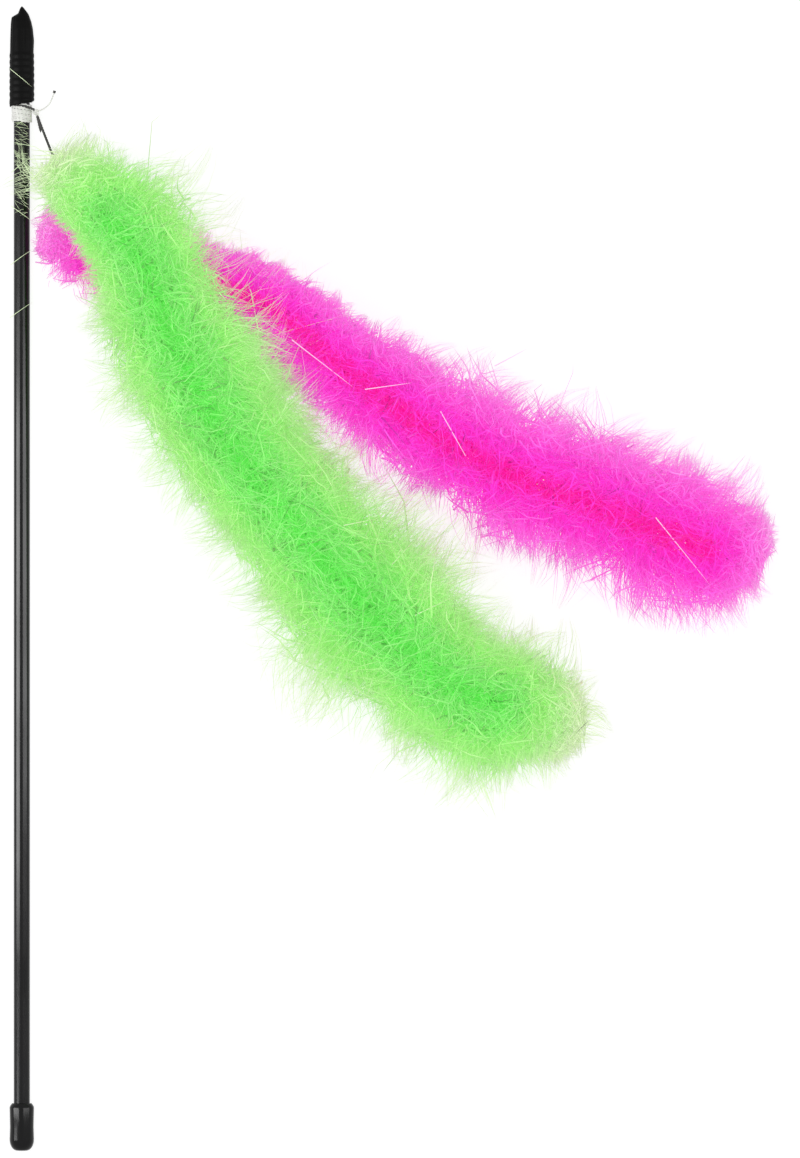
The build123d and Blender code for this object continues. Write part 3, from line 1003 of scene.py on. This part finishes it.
def lay_quills(spine, quills, half_height, side_reach):
    """Straight quills that lie on the down of a boa."""
    lines = straight_lines(np.array(quills) * MM)
    gaps = np.linalg.norm(lines[:, 1, None, :2] - spine.points[None, :, :2], axis=-1)
    along = spine.along[gaps.argmin(axis=1)]
    fall = np.clip(spine.plan_distance(lines) / side_reach, 0, 1) ** 2
    lines[..., 2] = spine.place(along)[:, None, 2] + half_height(along)[:, None] * (QUILL_HEIGHT - fall)
    return quill_barbs(lines, np.full(len(lines), QUILL_DIAMETER), along)


def settle(lines, lift):
    """Keeps barbs above the floor and lays them over the rod."""
    low = FLOOR + lift
    z = lines[..., 2]
    z[:] = np.where(z < low, low + FLOOR_GIVE * (low - z), z)
    z[:] = soft_limit(z, CAD_HIGH.z, CROWN_ROOM)
    lines[..., 0] = soft_limit(lines[..., 0], CAD_HIGH.x, END_ROOM)
    over = np.abs(lines[..., 0]) < ROD_RADIUS + ROD_NEAR
    reach = ROD_RADIUS + ROD_CLEAR
    crown = np.sqrt(np.clip(reach**2 - lines[..., 0] ** 2, 0, None))
    z[:] = np.where(over, np.maximum(z, crown), z)


def barb_faces(rings):
    """Corner numbers of the faces of one closed barb, and the map place of each corner."""
    faces = [(2, 1, 0)]
    places = [(2, 0), (1, 1), (0, 0)]
    for ring in range(rings - 1):
        for side in range(BARB_SIDES):
            after = (side + 1) % BARB_SIDES
            low, high = BARB_SIDES * ring, BARB_SIDES * (ring + 1)
            faces.append((low + side, low + after, high + after, high + side))
            places += [(side, ring), (side + 1, ring), (side + 1, ring + 1), (side, ring + 1)]
    last = BARB_SIDES * (rings - 1)
    for side in range(BARB_SIDES):
        faces.append((last + side, last + (side + 1) % BARB_SIDES, BARB_SIDES * rings))
        places += [(side, rings - 1), (side + 1, rings - 1), (side + 0.5, rings)]
    return faces, places


def barb_points(lines, thickness):
    """Corner points of closed, tapered three-sided barbs."""
    count, stations, _ = lines.shape
    rings = stations - 1
    across, square = cross_section(unit(np.gradient(lines, axis=1), TINY), BARB_ASKEW, TINY)
    taper = 1 - BARB_TAPER * ring_places(rings)[:rings]
    radius = thickness[:, None] / 2 * taper
    points = np.empty((count, BARB_SIDES * rings + 1, 3))
    for side in range(BARB_SIDES):
        angle = 2 * math.pi * side / BARB_SIDES
        spoke = math.cos(angle) * across[:, :rings] + math.sin(angle) * square[:, :rings]
        points[:, side : BARB_SIDES * rings : BARB_SIDES] = lines[:, :rings] + radius[..., None] * spoke
    points[:, -1] = lines[:, -1]
    return points


def barb_maps(barbs, places):
    """Map corners of each barb: its shade across and its bleach upwards."""
    corners = []
    for across, ring in places:
        u = (barbs.shade + SHADE_MARGIN + (1 - 2 * SHADE_MARGIN) * across / BARB_SIDES) / SHADES
        corners.append(np.stack([u, barbs.bleach[:, ring]], axis=-1))
    return np.stack(corners, axis=1)


def barb_piece(name, sets):
    """One mesh of all barbs in the sets."""
    points, loops, starts, maps = [], [], [], []
    point_count, loop_count = 0, 0
    for barbs in sets:
        lines = barbs.lines
        rings = lines.shape[1] - 1
        faces, places = barb_faces(rings)
        corners = np.array([corner for face in faces for corner in face])
        sizes = np.array([len(face) for face in faces])
        first = np.concatenate([[0], np.cumsum(sizes)[:-1]])
        per_barb = BARB_SIDES * rings + 1
        barb_index = np.arange(len(lines))[:, None]
        points.append(barb_points(lines, barbs.thickness).reshape(-1, 3))
        loops.append((point_count + barb_index * per_barb + corners).ravel())
        starts.append((loop_count + barb_index * len(corners) + first).ravel())
        maps.append(barb_maps(barbs, places).reshape(-1, 2))
        point_count += len(lines) * per_barb
        loop_count += len(lines) * len(corners)
    mesh = bpy.data.meshes.new(name)
    mesh.vertices.add(point_count)
    mesh.vertices.foreach_set("co", np.concatenate(points).astype(np.float32).ravel())
    mesh.loops.add(loop_count)
    mesh.loops.foreach_set("vertex_index", np.concatenate(loops).astype(np.int32))
    all_starts = np.concatenate(starts).astype(np.int32)
    mesh.polygons.add(len(all_starts))
    mesh.polygons.foreach_set("loop_start", all_starts)
    mesh.update(calc_edges=True)
    flat_map = np.concatenate(maps).astype(np.float32).ravel()
    for map_name in (BARB_MAP, BAKE_MAP):
        mesh.uv_layers.new(name=map_name).data.foreach_set("uv", flat_map)
    mesh.uv_layers[BARB_MAP].active_render = True
    mesh.shade_smooth()
    return new_object(name, mesh)


def boa_height(colour, spine):
    """Half height of a boa's down along its length, from the plumes of the frame."""
    middles = link_middles(colour)
    heights = []
    for link in range(len(middles)):
        low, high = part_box(f"{colour}_plume_{link + 1}")
        heights.append((high.z - low.z) / 2)
    places = [spine.nearest_along(middle) for middle in middles]
    return lambda along: np.interp(along, places, heights)


# Settings


def colour_property(name, description, default):
    """A colour that a user may change."""
    return bpy.props.FloatVectorProperty(
        name=name, description=description, default=default, subtype="COLOR", min=0, max=1
    )


def length_property(name, description, default):
    """A length that a user may change."""
    return bpy.props.FloatProperty(
        name=name, description=description, default=default, unit="LENGTH", min=0, precision=4
    )


def number_property(name, description, default):
    """A number that a user may change."""
    return bpy.props.FloatProperty(name=name, description=description, default=default)


class WandSettings(bpy.types.PropertyGroup):
    """Finish of the rod and its fittings."""

    rod_colour: colour_property("Rod", "Colour of the rod's plastic", (0.004, 0.004, 0.0045))
    cap_colour: colour_property("Cap", "Colour of the vinyl cap", (0.005, 0.005, 0.0055))
    sleeve_colour: colour_property("Sleeve", "Colour of the sleeve", (0.004, 0.004, 0.004))
    string_colour: colour_property("String", "Colour of the strings", (0.014, 0.013, 0.012))
    thread_colour: colour_property("Thread", "Colour of the tie thread", (0.93, 0.93, 0.89))


class BoaSizes:
    """Sizes that both boas have."""

    side_reach: length_property("Side Reach", "How far the down reaches sideways", 34 * MM)
    core_radius: length_property("Core Radius", "Distance of the barbs' roots from the core", 2.0 * MM)
    start_droop: number_property("Start Droop", "Droop at the start", 0.6)
    start_fan: length_property("Start Fan", "Length before the start that adds down to it", 12 * MM)
    end_fan: length_property("End Fan", "Length at each end over which the down fans out", 16 * MM)
    lift: length_property("Lift", "Least height of a barb above the floor", 0.4 * MM)
    seed: bpy.props.IntProperty(name="Seed", description="Start of the random draws", default=7)


class GreenBoaSettings(BoaSizes, bpy.types.PropertyGroup):
    """Reaches and colours of the green boa."""

    start_reach: length_property("Start Reach", "How far the down reaches past the start", 28 * MM)
    end_reach: length_property("End Reach", "How far the down reaches past the end", 20 * MM)
    deep_start: length_property("Deep Start", "Length at the start that is as pale as the sides", 15 * MM)
    deep_end: length_property("Deep End", "Length at the end that is as pale as the sides", 18 * MM)
    deep_aside: length_property("Deep Aside", "How far the deepest dye lies to the lower side", 0)
    # Painted shade: share of short dark barbs that stand in for the shadow between tufts
    shadow_speck_share: number_property("Dark Share", "Share of dark barbs", 0.12)
    # Painted glow: the light that the down emits to lift its shade, though it holds no lamp
    glow: number_property("Glow", "Light of the fluorescent dye", 0.32)
    root_colour: colour_property("Root", "Colour near the core", (0.21, 0.96, 0.15))
    middle_colour: colour_property("Middle", "Colour of the middle", (0.34, 0.98, 0.24))
    outer_colour: colour_property("Outer", "Colour of the outer down", (0.50, 1.0, 0.31))
    tip_colour: colour_property("Tip", "Colour of the tips", (0.80, 0.97, 0.60))
    quill_colour: colour_property("Quill", "Colour of the quills", (0.85, 1.0, 0.65))


class PinkBoaSettings(BoaSizes, bpy.types.PropertyGroup):
    """Reaches and colours of the pink boa."""

    start_reach: length_property("Start Reach", "How far the down reaches past the start", 8 * MM)
    end_reach: length_property("End Reach", "How far the down reaches past the end", 13 * MM)
    deep_start: length_property("Deep Start", "Length at the start that is as pale as the sides", 20 * MM)
    deep_end: length_property("Deep End", "Length at the end that is as pale as the sides", 11 * MM)
    deep_aside: length_property("Deep Aside", "How far the deepest dye lies to the lower side", 3.5 * MM)
    # Painted shade: share of short dark barbs that stand in for the shadow between tufts
    shadow_speck_share: number_property("Dark Share", "Share of dark barbs", 0.03)
    # Painted glow: the light that the down emits to lift its shade, though it holds no lamp
    glow: number_property("Glow", "Light of the fluorescent dye", 0.40)
    root_colour: colour_property("Root", "Colour near the core", (1.0, 0.016, 0.48))
    middle_colour: colour_property("Middle", "Colour of the middle", (1.0, 0.05, 0.72))
    outer_colour: colour_property("Outer", "Colour of the outer down", (1.0, 0.17, 0.80))
    tip_colour: colour_property("Tip", "Colour of the tips", (0.98, 0.58, 0.88))
    quill_colour: colour_property("Quill", "Colour of the quills", (1.0, 0.60, 0.86))


class StageSettings(bpy.types.PropertyGroup):
    """Camera and light, with the power of each lamp and strip under its name."""

    view_height: length_property("View Height", "Height of the camera above the floor", 3.0)
    view_length: length_property("View Length", "Height that the picture shows", 431.6 * MM)
    view_centre: bpy.props.FloatVectorProperty(
        name="View Centre", description="Middle of the picture", default=(0.14095, 0.2130), size=2
    )
    window_light: number_property("Window", "Power of the left light", 7.0)
    soft_box: number_property("Soft Box", "Power of the right light", 4.0)
    left_strip: number_property("Left Strip", "Power of the strip that the rod mirrors on its left", 20.0)
    right_strip: number_property("Right Strip", "Power of the strip that the rod mirrors on its right", 12.0)
    cap_strip: number_property("Cap Strip", "Power of the strip that the cap mirrors", 2.5)
    sky: number_property("Sky", "Strength of the light all round", 0.80)


def boa_settings(colour):
    """The settings of one boa."""
    scene = bpy.context.scene
    return scene.green_boa if colour == "green" else scene.pink_boa


# Operators


class OBJECT_OT_finishes(bpy.types.Operator):
    """Makes the shared finishes"""

    bl_idname = "teaser.finishes"
    bl_label = "Finishes"

    def execute(self, context):
        wand = context.scene.teaser_wand
        plastic_wear_group()
        fibre_group()
        barb_group()
        plastic_material("glossy_rod_plastic", wand.rod_colour, **ROD_FINISH)
        plastic_material("satin_cap_vinyl", wand.cap_colour, **CAP_FINISH)
        plastic_material("drawn_sleeve_plastic", wand.sleeve_colour, **SLEEVE_FINISH)
        fibre_material("spun_black_string", wand.string_colour, BLACK_FIBRE, amount=0.7)
        fibre_material("spun_white_thread", wand.thread_colour, WHITE_FIBRE, amount=0.6)
        for colour in COLOURS:
            settings = boa_settings(colour)
            fibre_material(f"{colour}_core_yarn", settings.root_colour, settings.middle_colour, amount=0.6)
            barb_material(f"{colour}_down", settings)
        return {"FINISHED"}


class OBJECT_OT_rod(bpy.types.Operator):
    """Finishes the rod"""

    bl_idname = "teaser.rod"
    bl_label = "Rod"

    def execute(self, context):
        rod = frame["nodes"]["wand_rod"]
        rod.data.materials.clear()
        rod.data.materials.append(bpy.data.materials["glossy_rod_plastic"])
        return {"FINISHED"}


class OBJECT_OT_cap(bpy.types.Operator):
    """Models the dipped vinyl cap with its rolled mouth"""

    bl_idname = "teaser.cap"
    bl_label = "Handle Cap"

    def execute(self, context):
        mouth = ROD_RADIUS + CAP_LIP
        bore = ROD_RADIUS + SEAT_GAP
        flat = CAP_RADIUS - CAP_CORNER_WIDTH
        dimple = [(share * flat, depth) for share, depth in CAP_DIMPLE]
        rounding = [
            (flat + CAP_CORNER_WIDTH * math.sin(turn), CAP_CORNER_HEIGHT * (1 - math.cos(turn)))
            for turn in np.linspace(0, math.pi / 2, CAP_CORNER_RINGS)
        ]
        shares = np.linspace(0, 1, CAP_SHOULDER_RINGS)
        radii = CAP_RADIUS + (mouth - CAP_RADIUS) * shares**CAP_SHOULDER_CURVE
        shoulder = list(zip(radii, CAP_LENGTH - CAP_SHOULDER * (1 - shares)))
        wall = [
            (CAP_RADIUS - CAP_WAIST, 0.5 * CAP_LENGTH),
            *shoulder,
            (bore, CAP_LENGTH - CAP_LIP_DEPTH),
            (bore, CAP_FLOOR),
            (0, CAP_FLOOR),
        ]
        cap = lathe("vinyl_handle_cap", dimple + rounding + wall, CAP_SEGMENTS)
        finish_piece(cap, bpy.data.materials["satin_cap_vinyl"], "cap_vinyl", "handle_cap")
        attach(cap, "wand")
        return {"FINISHED"}


class OBJECT_OT_sleeve(bpy.types.Operator):
    """Models the drawn sleeve with its ridges, creases and pinched tip"""

    bl_idname = "teaser.sleeve"
    bl_label = "Tip Sleeve"

    def execute(self, context):
        places = np.linspace(SLEEVE_TIP, SLEEVE_MOUTH, SLEEVE_RINGS)
        outer = [(self.radius_at(along), along) for along in places]
        inner = [(max(0, radius - SLEEVE_WALL), along - SLEEVE_WALL) for radius, along in outer[:-1]]
        inner[0] = (0, inner[0][1])
        profile = [(0, SLEEVE_TIP), *outer[1:], (outer[-1][0] - SLEEVE_WALL, SLEEVE_MOUTH), *reversed(inner)]
        sleeve = lathe("drawn_tip_sleeve", profile, SLEEVE_SEGMENTS)
        for vertex in sleeve.data.vertices:
            vertex.co = self.drawn(vertex.co)
        finish_piece(sleeve, bpy.data.materials["drawn_sleeve_plastic"], "sleeve_plastic", "tip_sleeve")
        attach(sleeve, "wand")
        return {"FINISHED"}

    def radius_at(self, along):
        """Radius of the sleeve: ridges over the string below, a pinched tip above."""
        base = SLEEVE_RADIUS - RIDGE_HEIGHT
        if along < RIDGE_END:
            return base + RIDGE_HEIGHT * abs(math.sin(math.pi * (along - SLEEVE_MOUTH) / RIDGE_PITCH))
        return base * self.shares(along)[2]

    def shares(self, along):
        """Shares of the sleeve's radius to the left, to the right and in depth."""
        places, *columns = zip(*SLEEVE_DRAWN)
        way_up = (along - RIDGE_END) / (SLEEVE_TIP - RIDGE_END)
        return [np.interp(way_up, places, column) for column in columns]

    def waves(self, table, around):
        """Waves round the sleeve, added up."""
        return sum(size * math.cos(count * around + phase) for size, count, phase in table)

    def drawn(self, point):
        """Where the drawing leaves a point: creased above, slanted and ragged at the mouth."""
        around = math.atan2(point.x, point.z)
        up = (point.y - SLEEVE_MOUTH) / (SLEEVE_TIP - SLEEVE_MOUTH)
        size = 1 - abs(self.waves(CREASES, around)) * max(0, min(1, 3 * up - 1))
        left, right, depth = self.shares(point.y)
        width = (right if point.x > 0 else left) / depth
        near_mouth = max(0, 1 - (point.y - SLEEVE_MOUTH) / RIDGE_PITCH)
        drop = near_mouth * (SLEEVE_SLANT * point.x / SLEEVE_RADIUS + self.waves(RAGS, around))
        return Vector((point.x * size * width, point.y + drop, point.z * size))


class OBJECT_OT_tie(bpy.types.Operator):
    """Models the string lashing, the white tie thread, its knot and its tail"""

    bl_idname = "teaser.tie"
    bl_label = "Lashing and Tie"

    def execute(self, context):
        string = bpy.data.materials["spun_black_string"]
        thread = bpy.data.materials["spun_white_thread"]
        lashing = twisted_cord("wound_string", self.lashing_line(), STRING_DIAMETER, STRING_PLIES)
        finish_piece(lashing, string, "black_string", "string_lashing")
        tie = twisted_cord("wound_tie_thread", self.tie_line(), TIE_DIAMETER, THREAD_PLIES)
        finish_piece(tie, thread, "white_thread", "tie_thread")
        knot = overhand_knot("tied_thread_knot", TIE_KNOT, TIE_KNOT_RADIUS, TIE_STRAND, TIE_KNOT_TURN)
        finish_piece(knot, thread, "white_thread", "tie_knot")
        tail_points = [TIE_KNOT + Vector(step) * MM for step in TAIL_STEPS]
        tail_line = finer(cord_line(tail_points), STRING_STEP)
        tail = twisted_cord("loose_thread_tail", tail_line, THREAD_DIAMETER, THREAD_PLIES)
        finish_piece(tail, thread, "white_thread", "thread_tail")
        end_radius = TAIL_END_SHARE * THREAD_DIAMETER
        tail_end = strand_tube("singed_tail_end", tail_line[-TAIL_END_POINTS:], end_radius)
        tail_end.data.materials.append(string)
        for piece in (lashing, tie, knot, tail, tail_end):
            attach(piece, "wand")
        return {"FINISHED"}

    def lashing_line(self):
        """Turns of string round the rod's tip, running out to the tie knot."""
        turns = RIDGE_COUNT + 1
        angle = np.linspace(-2 * math.pi * turns, 0, LASHING_POINTS * turns)
        along = SLEEVE_MOUTH - LASHING_DROP - angle / (2 * math.pi) * RIDGE_PITCH
        return self.wound_line(STRING_DIAMETER, angle, along, LASHING_RUN, STRING_STEP)

    def tie_line(self):
        """Turns of thread round the rod below the sleeve, running out to the knot."""
        angle = np.linspace(-2 * math.pi * TIE_TURNS, TIE_OVERRUN, TIE_POINTS * TIE_TURNS)
        top = SLEEVE_MOUTH - TIE_DROP
        wander = TIE_WANDER * np.sin(TIE_WANDER_RATE * angle)
        along = top - (top - TIE_LOW) * (-angle / (2 * math.pi * TIE_TURNS)) + wander
        return self.wound_line(TIE_DIAMETER, angle, along, TIE_RUN, THREAD_STEP)

    def wound_line(self, diameter, angle, along, run, step):
        """Turns of a strand round the rod, with its run-out round a corner to an end at the knot."""
        radius = ROD_RADIUS + SEAT_GAP + diameter / 2
        coil = np.stack([radius * np.sin(angle), along, radius * np.cos(angle)], axis=-1)
        start = Vector(coil[-1])
        corner, end = run
        run_out = cord_line([start, start + Vector(corner) * MM, TIE_KNOT + Vector(end) * MM])
        return np.concatenate([coil[:-1], finer(run_out, step)])


class OBJECT_OT_strings(bpy.types.Operator):
    """Models the two strings that the boas hang from"""

    bl_idname = "teaser.strings"
    bl_label = "Strings"

    def execute(self, context):
        for colour in COLOURS:
            middle = [TIE_KNOT + Vector(step) * MM for step in STRING_STEPS[colour]]
            boa_start = boa_hinges(colour)[0]
            first = TIE_KNOT + (middle[0] - TIE_KNOT).normalized() * TIE_KNOT_RADIUS
            last = boa_start - (boa_start - middle[-1]).normalized() * STRING_END_GAP * MM
            line = finer(cord_line([first, *middle, last]), STRING_STEP)
            string = twisted_cord(f"{colour}_leader_string", line, STRING_DIAMETER, STRING_PLIES)
            finish_piece(string, bpy.data.materials["spun_black_string"], "black_string", f"{colour}_string")
            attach(string, f"{colour}_string")
        return {"FINISHED"}


class OBJECT_OT_boa_core(bpy.types.Operator):
    """Models the core cord of a boa and the knots at its ends"""

    bl_idname = "teaser.boa_core"
    bl_label = "Boa Core"

    colour: bpy.props.StringProperty(name="Colour", description="Which boa", default="green")

    def execute(self, context):
        colour = self.colour
        hinges = boa_hinges(colour)
        line = finer(hinge_line(hinges), CORE_STEP)
        spine = Spine(line)
        middles = link_middles(colour)
        links = len(middles)
        yarn = bpy.data.materials[f"{colour}_core_yarn"]
        for link in range(1, links):
            start = 0 if link == 1 else spine.nearest_along(middles[link - 1])
            end = spine.length if link == links - 1 else spine.nearest_along(middles[link])
            part = line[(spine.along >= start - CORE_LAP) & (spine.along <= end + CORE_LAP)]
            core = twisted_cord(f"{colour}_core_cord_{link}", part, CORE_DIAMETER, CORE_PLIES, CORE_SIDES)
            finish_bend(core, yarn, f"{colour}_cord", colour, "core", link, middles)
        for end, body, place in (("start", 1, hinges[0]), ("end", links, hinges[-1])):
            knot = overhand_knot(f"{colour}_{end}_tied_knot", place, CORE_KNOT_RADIUS, CORE_STRAND)
            finish_piece(knot, yarn, f"{colour}_cord", f"{colour}_{end}_knot")
            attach(knot, f"{colour}_link_{body}")
        return {"FINISHED"}


class OBJECT_OT_boa_down(bpy.types.Operator):
    """Grows the down of a boa, in one piece for each bend between two links"""

    bl_idname = "teaser.boa_down"
    bl_label = "Boa Down"

    colour: bpy.props.StringProperty(name="Colour", description="Which boa", default="green")

    def execute(self, context):
        colour = self.colour
        settings = boa_settings(colour)
        rng = np.random.default_rng(settings.seed + COLOURS.index(colour))
        spine = Spine(hinge_line(boa_hinges(colour)))
        height = boa_height(colour, spine)
        sides = BOA_SIDES[colour]
        grown = [grow_layer(rng, spine, layer, height, sides, settings) for layer in BOA_LAYERS[colour]]
        grown.append(lay_quills(spine, QUILLS[colour], height, settings.side_reach))
        middles = link_middles(colour)
        edges = [spine.nearest_along(middle) for middle in middles]
        edges[0] = -1
        edges[-1] = spine.length + 1
        for link in range(1, len(middles)):
            low, high = edges[link - 1], edges[link]
            sets = [barbs.only((barbs.along >= low) & (barbs.along < high)) for barbs in grown]
            down = barb_piece(f"{colour}_down_{link}", sets)
            finish = bpy.data.materials[f"{colour}_down"]
            finish_bend(down, finish, f"{colour}_feather", colour, "plume", link, middles)
        return {"FINISHED"}


class OBJECT_OT_clinging_barbs(bpy.types.Operator):
    """Lays loose barbs over the rod and the sleeve"""

    bl_idname = "teaser.clinging_barbs"
    bl_label = "Clinging Barbs"

    def execute(self, context):
        lines = straight_lines(np.concatenate([np.array(CLINGING_BARBS) * MM, self.wisp_ends()]))
        across, along = lines[..., 0], lines[..., 1]
        radius = np.where(along > SLEEVE_MOUTH, SLEEVE_RADIUS, ROD_RADIUS) + QUILL_DIAMETER / 2
        lines[..., 2] = np.sqrt(np.clip(radius**2 - across**2, CLINGING_LOW * radius**2, None))
        count = len(lines)
        thickness = np.where(np.arange(count) < len(CLINGING_BARBS), CLINGING_DIAMETER, WISP_DIAMETER)
        piece = barb_piece("clinging_barbs", [quill_barbs(lines, thickness, np.zeros(count))])
        piece.data.materials.append(bpy.data.materials["green_down"])
        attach(piece, "wand")
        return {"FINISHED"}

    def wisp_ends(self):
        """Both ends of the wisps on the rod, seen from above."""
        rng = np.random.default_rng(WISPS)
        across = rng.uniform(*WISP_ROOTS, WISPS) * ROD_RADIUS
        along = TIE_LOW - WISP_STRETCH * rng.random(WISPS) ** WISP_CROWDING
        root = np.stack([across, along], axis=-1)
        heading = rng.normal(WISP_HEADING, WISP_SPREAD, WISPS)
        length = rng.uniform(*WISP_LENGTHS, WISPS) * ROD_RADIUS
        tip = root + np.stack([np.cos(heading), np.sin(heading)], axis=-1) * length[:, None]
        tip[:, 0] = np.maximum(tip[:, 0], WISP_EDGE * ROD_RADIUS)
        tip[:, 1] = np.minimum(tip[:, 1], TIE_LOW)
        return np.stack([root, tip], axis=1)


class OBJECT_OT_stage(bpy.types.Operator):
    """Sets up the floor, the lights and the camera"""

    bl_idname = "teaser.stage"
    bl_label = "Stage"

    def execute(self, context):
        stage = context.scene.teaser_stage
        context.scene.view_settings.view_transform = "Standard"
        self.make_floor()
        self.make_sky(stage)
        for name, (place, size) in LAMPS.items():
            self.make_light(name, place, size, getattr(stage, name)).visible_glossy = False
        for name, (place, size) in STRIPS.items():
            self.make_light(name, place, size, getattr(stage, name)).visible_diffuse = False
        lens = bpy.data.cameras.new("photo_camera")
        lens.sensor_fit = "VERTICAL"
        lens.sensor_height = SENSOR
        lens.sensor_width = SENSOR
        lens.lens = SENSOR * stage.view_height / stage.view_length
        lens.clip_end = CLIP_END
        camera = new_object("photo_camera", lens)
        camera.location = Vector((*stage.view_centre, 0)) + UP * stage.view_height
        context.scene.camera = camera
        return {"FINISHED"}

    def make_floor(self):
        """A wide pale floor, level with the rod's axis, that shows white and keeps a soft shadow."""
        deselect_all()
        bpy.ops.mesh.primitive_plane_add(size=FLOOR_SIZE, location=(0, 0, 0))
        floor = bpy.context.object
        floor.name = "studio_floor"
        material, nodes, links = new_material("white_floor")
        nodes.remove(nodes["Principled BSDF"])
        pale = nodes.new("ShaderNodeBsdfDiffuse")
        pale.inputs["Color"].default_value = FLOOR_PALE
        shaded = nodes.new("ShaderNodeBsdfDiffuse")
        shaded.inputs["Color"].default_value = FLOOR_SHADED
        glow = nodes.new("ShaderNodeEmission")
        glow.inputs["Strength"].default_value = FLOOR_GLOW
        seen = nodes.new("ShaderNodeAddShader")
        shown = self.shown_rays(material.node_tree)
        choice = nodes.new("ShaderNodeMixShader")
        links.new(shaded.outputs[0], seen.inputs[0])
        links.new(glow.outputs[0], seen.inputs[1])
        links.new(shown, choice.inputs[0])
        links.new(pale.outputs[0], choice.inputs[1])
        links.new(seen.outputs[0], choice.inputs[2])
        links.new(choice.outputs[0], nodes["Material Output"].inputs["Surface"])
        floor.data.materials.append(material)

    def shown_rays(self, tree):
        """One for what is seen directly, in a mirror image or through glass."""
        rays = tree.nodes.new("ShaderNodeLightPath")
        direct = add_math(tree, "ADD", rays.outputs["Is Camera Ray"], rays.outputs["Is Glossy Ray"])
        return add_math(tree, "ADD", direct, rays.outputs["Is Transmission Ray"])

    def make_sky(self, stage):
        """Even light from all round, white where it is seen directly."""
        world = bpy.data.worlds.new("studio_sky")
        world.use_nodes = True
        nodes, links = world.node_tree.nodes, world.node_tree.links
        strength = nodes.new("ShaderNodeMapRange")
        strength.inputs["To Min"].default_value = stage.sky
        strength.inputs["To Max"].default_value = 1.0
        links.new(self.shown_rays(world.node_tree), strength.inputs["Value"])
        nodes["Background"].inputs["Color"].default_value = (1, 1, 1, 1)
        links.new(strength.outputs["Result"], nodes["Background"].inputs["Strength"])
        bpy.context.scene.world = world

    def make_light(self, name, place, size, power):
        """A soft rectangular light that faces the rod, sized along it and across it."""
        lamp = bpy.data.lights.new(name, "AREA")
        lamp.shape = "RECTANGLE"
        lamp.size, lamp.size_y = size
        lamp.energy = power
        light = new_object(name, lamp)
        light.location = place
        light.rotation_euler = Vector((-place[0], 0, -place[2])).to_track_quat("-Z", "Y").to_euler()
        return light


class VIEW3D_PT_teaser_wand(bpy.types.Panel):
    """Lists the settings and the buttons that build the pieces"""

    bl_label = "Teaser Wand"
    bl_space_type = "VIEW_3D"
    bl_region_type = "UI"
    bl_category = "Teaser Wand"

    def draw(self, context):
        scene = context.scene
        for settings in (scene.teaser_wand, scene.green_boa, scene.pink_boa, scene.teaser_stage):
            box = self.layout.box()
            for name in settings.bl_rna.properties.keys():
                if name not in {"rna_type", "name"}:
                    box.prop(settings, name)
        for operator in OPERATORS:
            self.layout.operator(operator.bl_idname)


SETTINGS = {
    "teaser_wand": WandSettings,
    "green_boa": GreenBoaSettings,
    "pink_boa": PinkBoaSettings,
    "teaser_stage": StageSettings,
}
OPERATORS = (
    OBJECT_OT_finishes,
    OBJECT_OT_stage,
    OBJECT_OT_rod,
    OBJECT_OT_cap,
    OBJECT_OT_sleeve,
    OBJECT_OT_tie,
    OBJECT_OT_strings,
    OBJECT_OT_boa_core,
    OBJECT_OT_boa_down,
    OBJECT_OT_clinging_barbs,
)


def register():
    """Registers the settings, the operators and the panel."""
    for name, settings in SETTINGS.items():
        bpy.utils.register_class(settings)
        setattr(bpy.types.Scene, name, bpy.props.PointerProperty(type=settings))
    for item in (*OPERATORS, VIEW3D_PT_teaser_wand):
        bpy.utils.register_class(item)


def unregister():
    """Takes away what register added."""
    for item in (VIEW3D_PT_teaser_wand, *reversed(OPERATORS)):
        bpy.utils.unregister_class(item)
    for name, settings in SETTINGS.items():
        delattr(bpy.types.Scene, name)
        bpy.utils.unregister_class(settings)


def main():
    """Builds the dressed wand."""
    register()
    bpy.ops.teaser.finishes()
    bpy.ops.teaser.stage()
    bpy.ops.teaser.rod()
    bpy.ops.teaser.cap()
    bpy.ops.teaser.sleeve()
    bpy.ops.teaser.tie()
    bpy.ops.teaser.strings()
    for colour in COLOURS:
        bpy.ops.teaser.boa_core(colour=colour)
        bpy.ops.teaser.boa_down(colour=colour)
    bpy.ops.teaser.clinging_barbs()


if __name__ == "__main__":
    main()
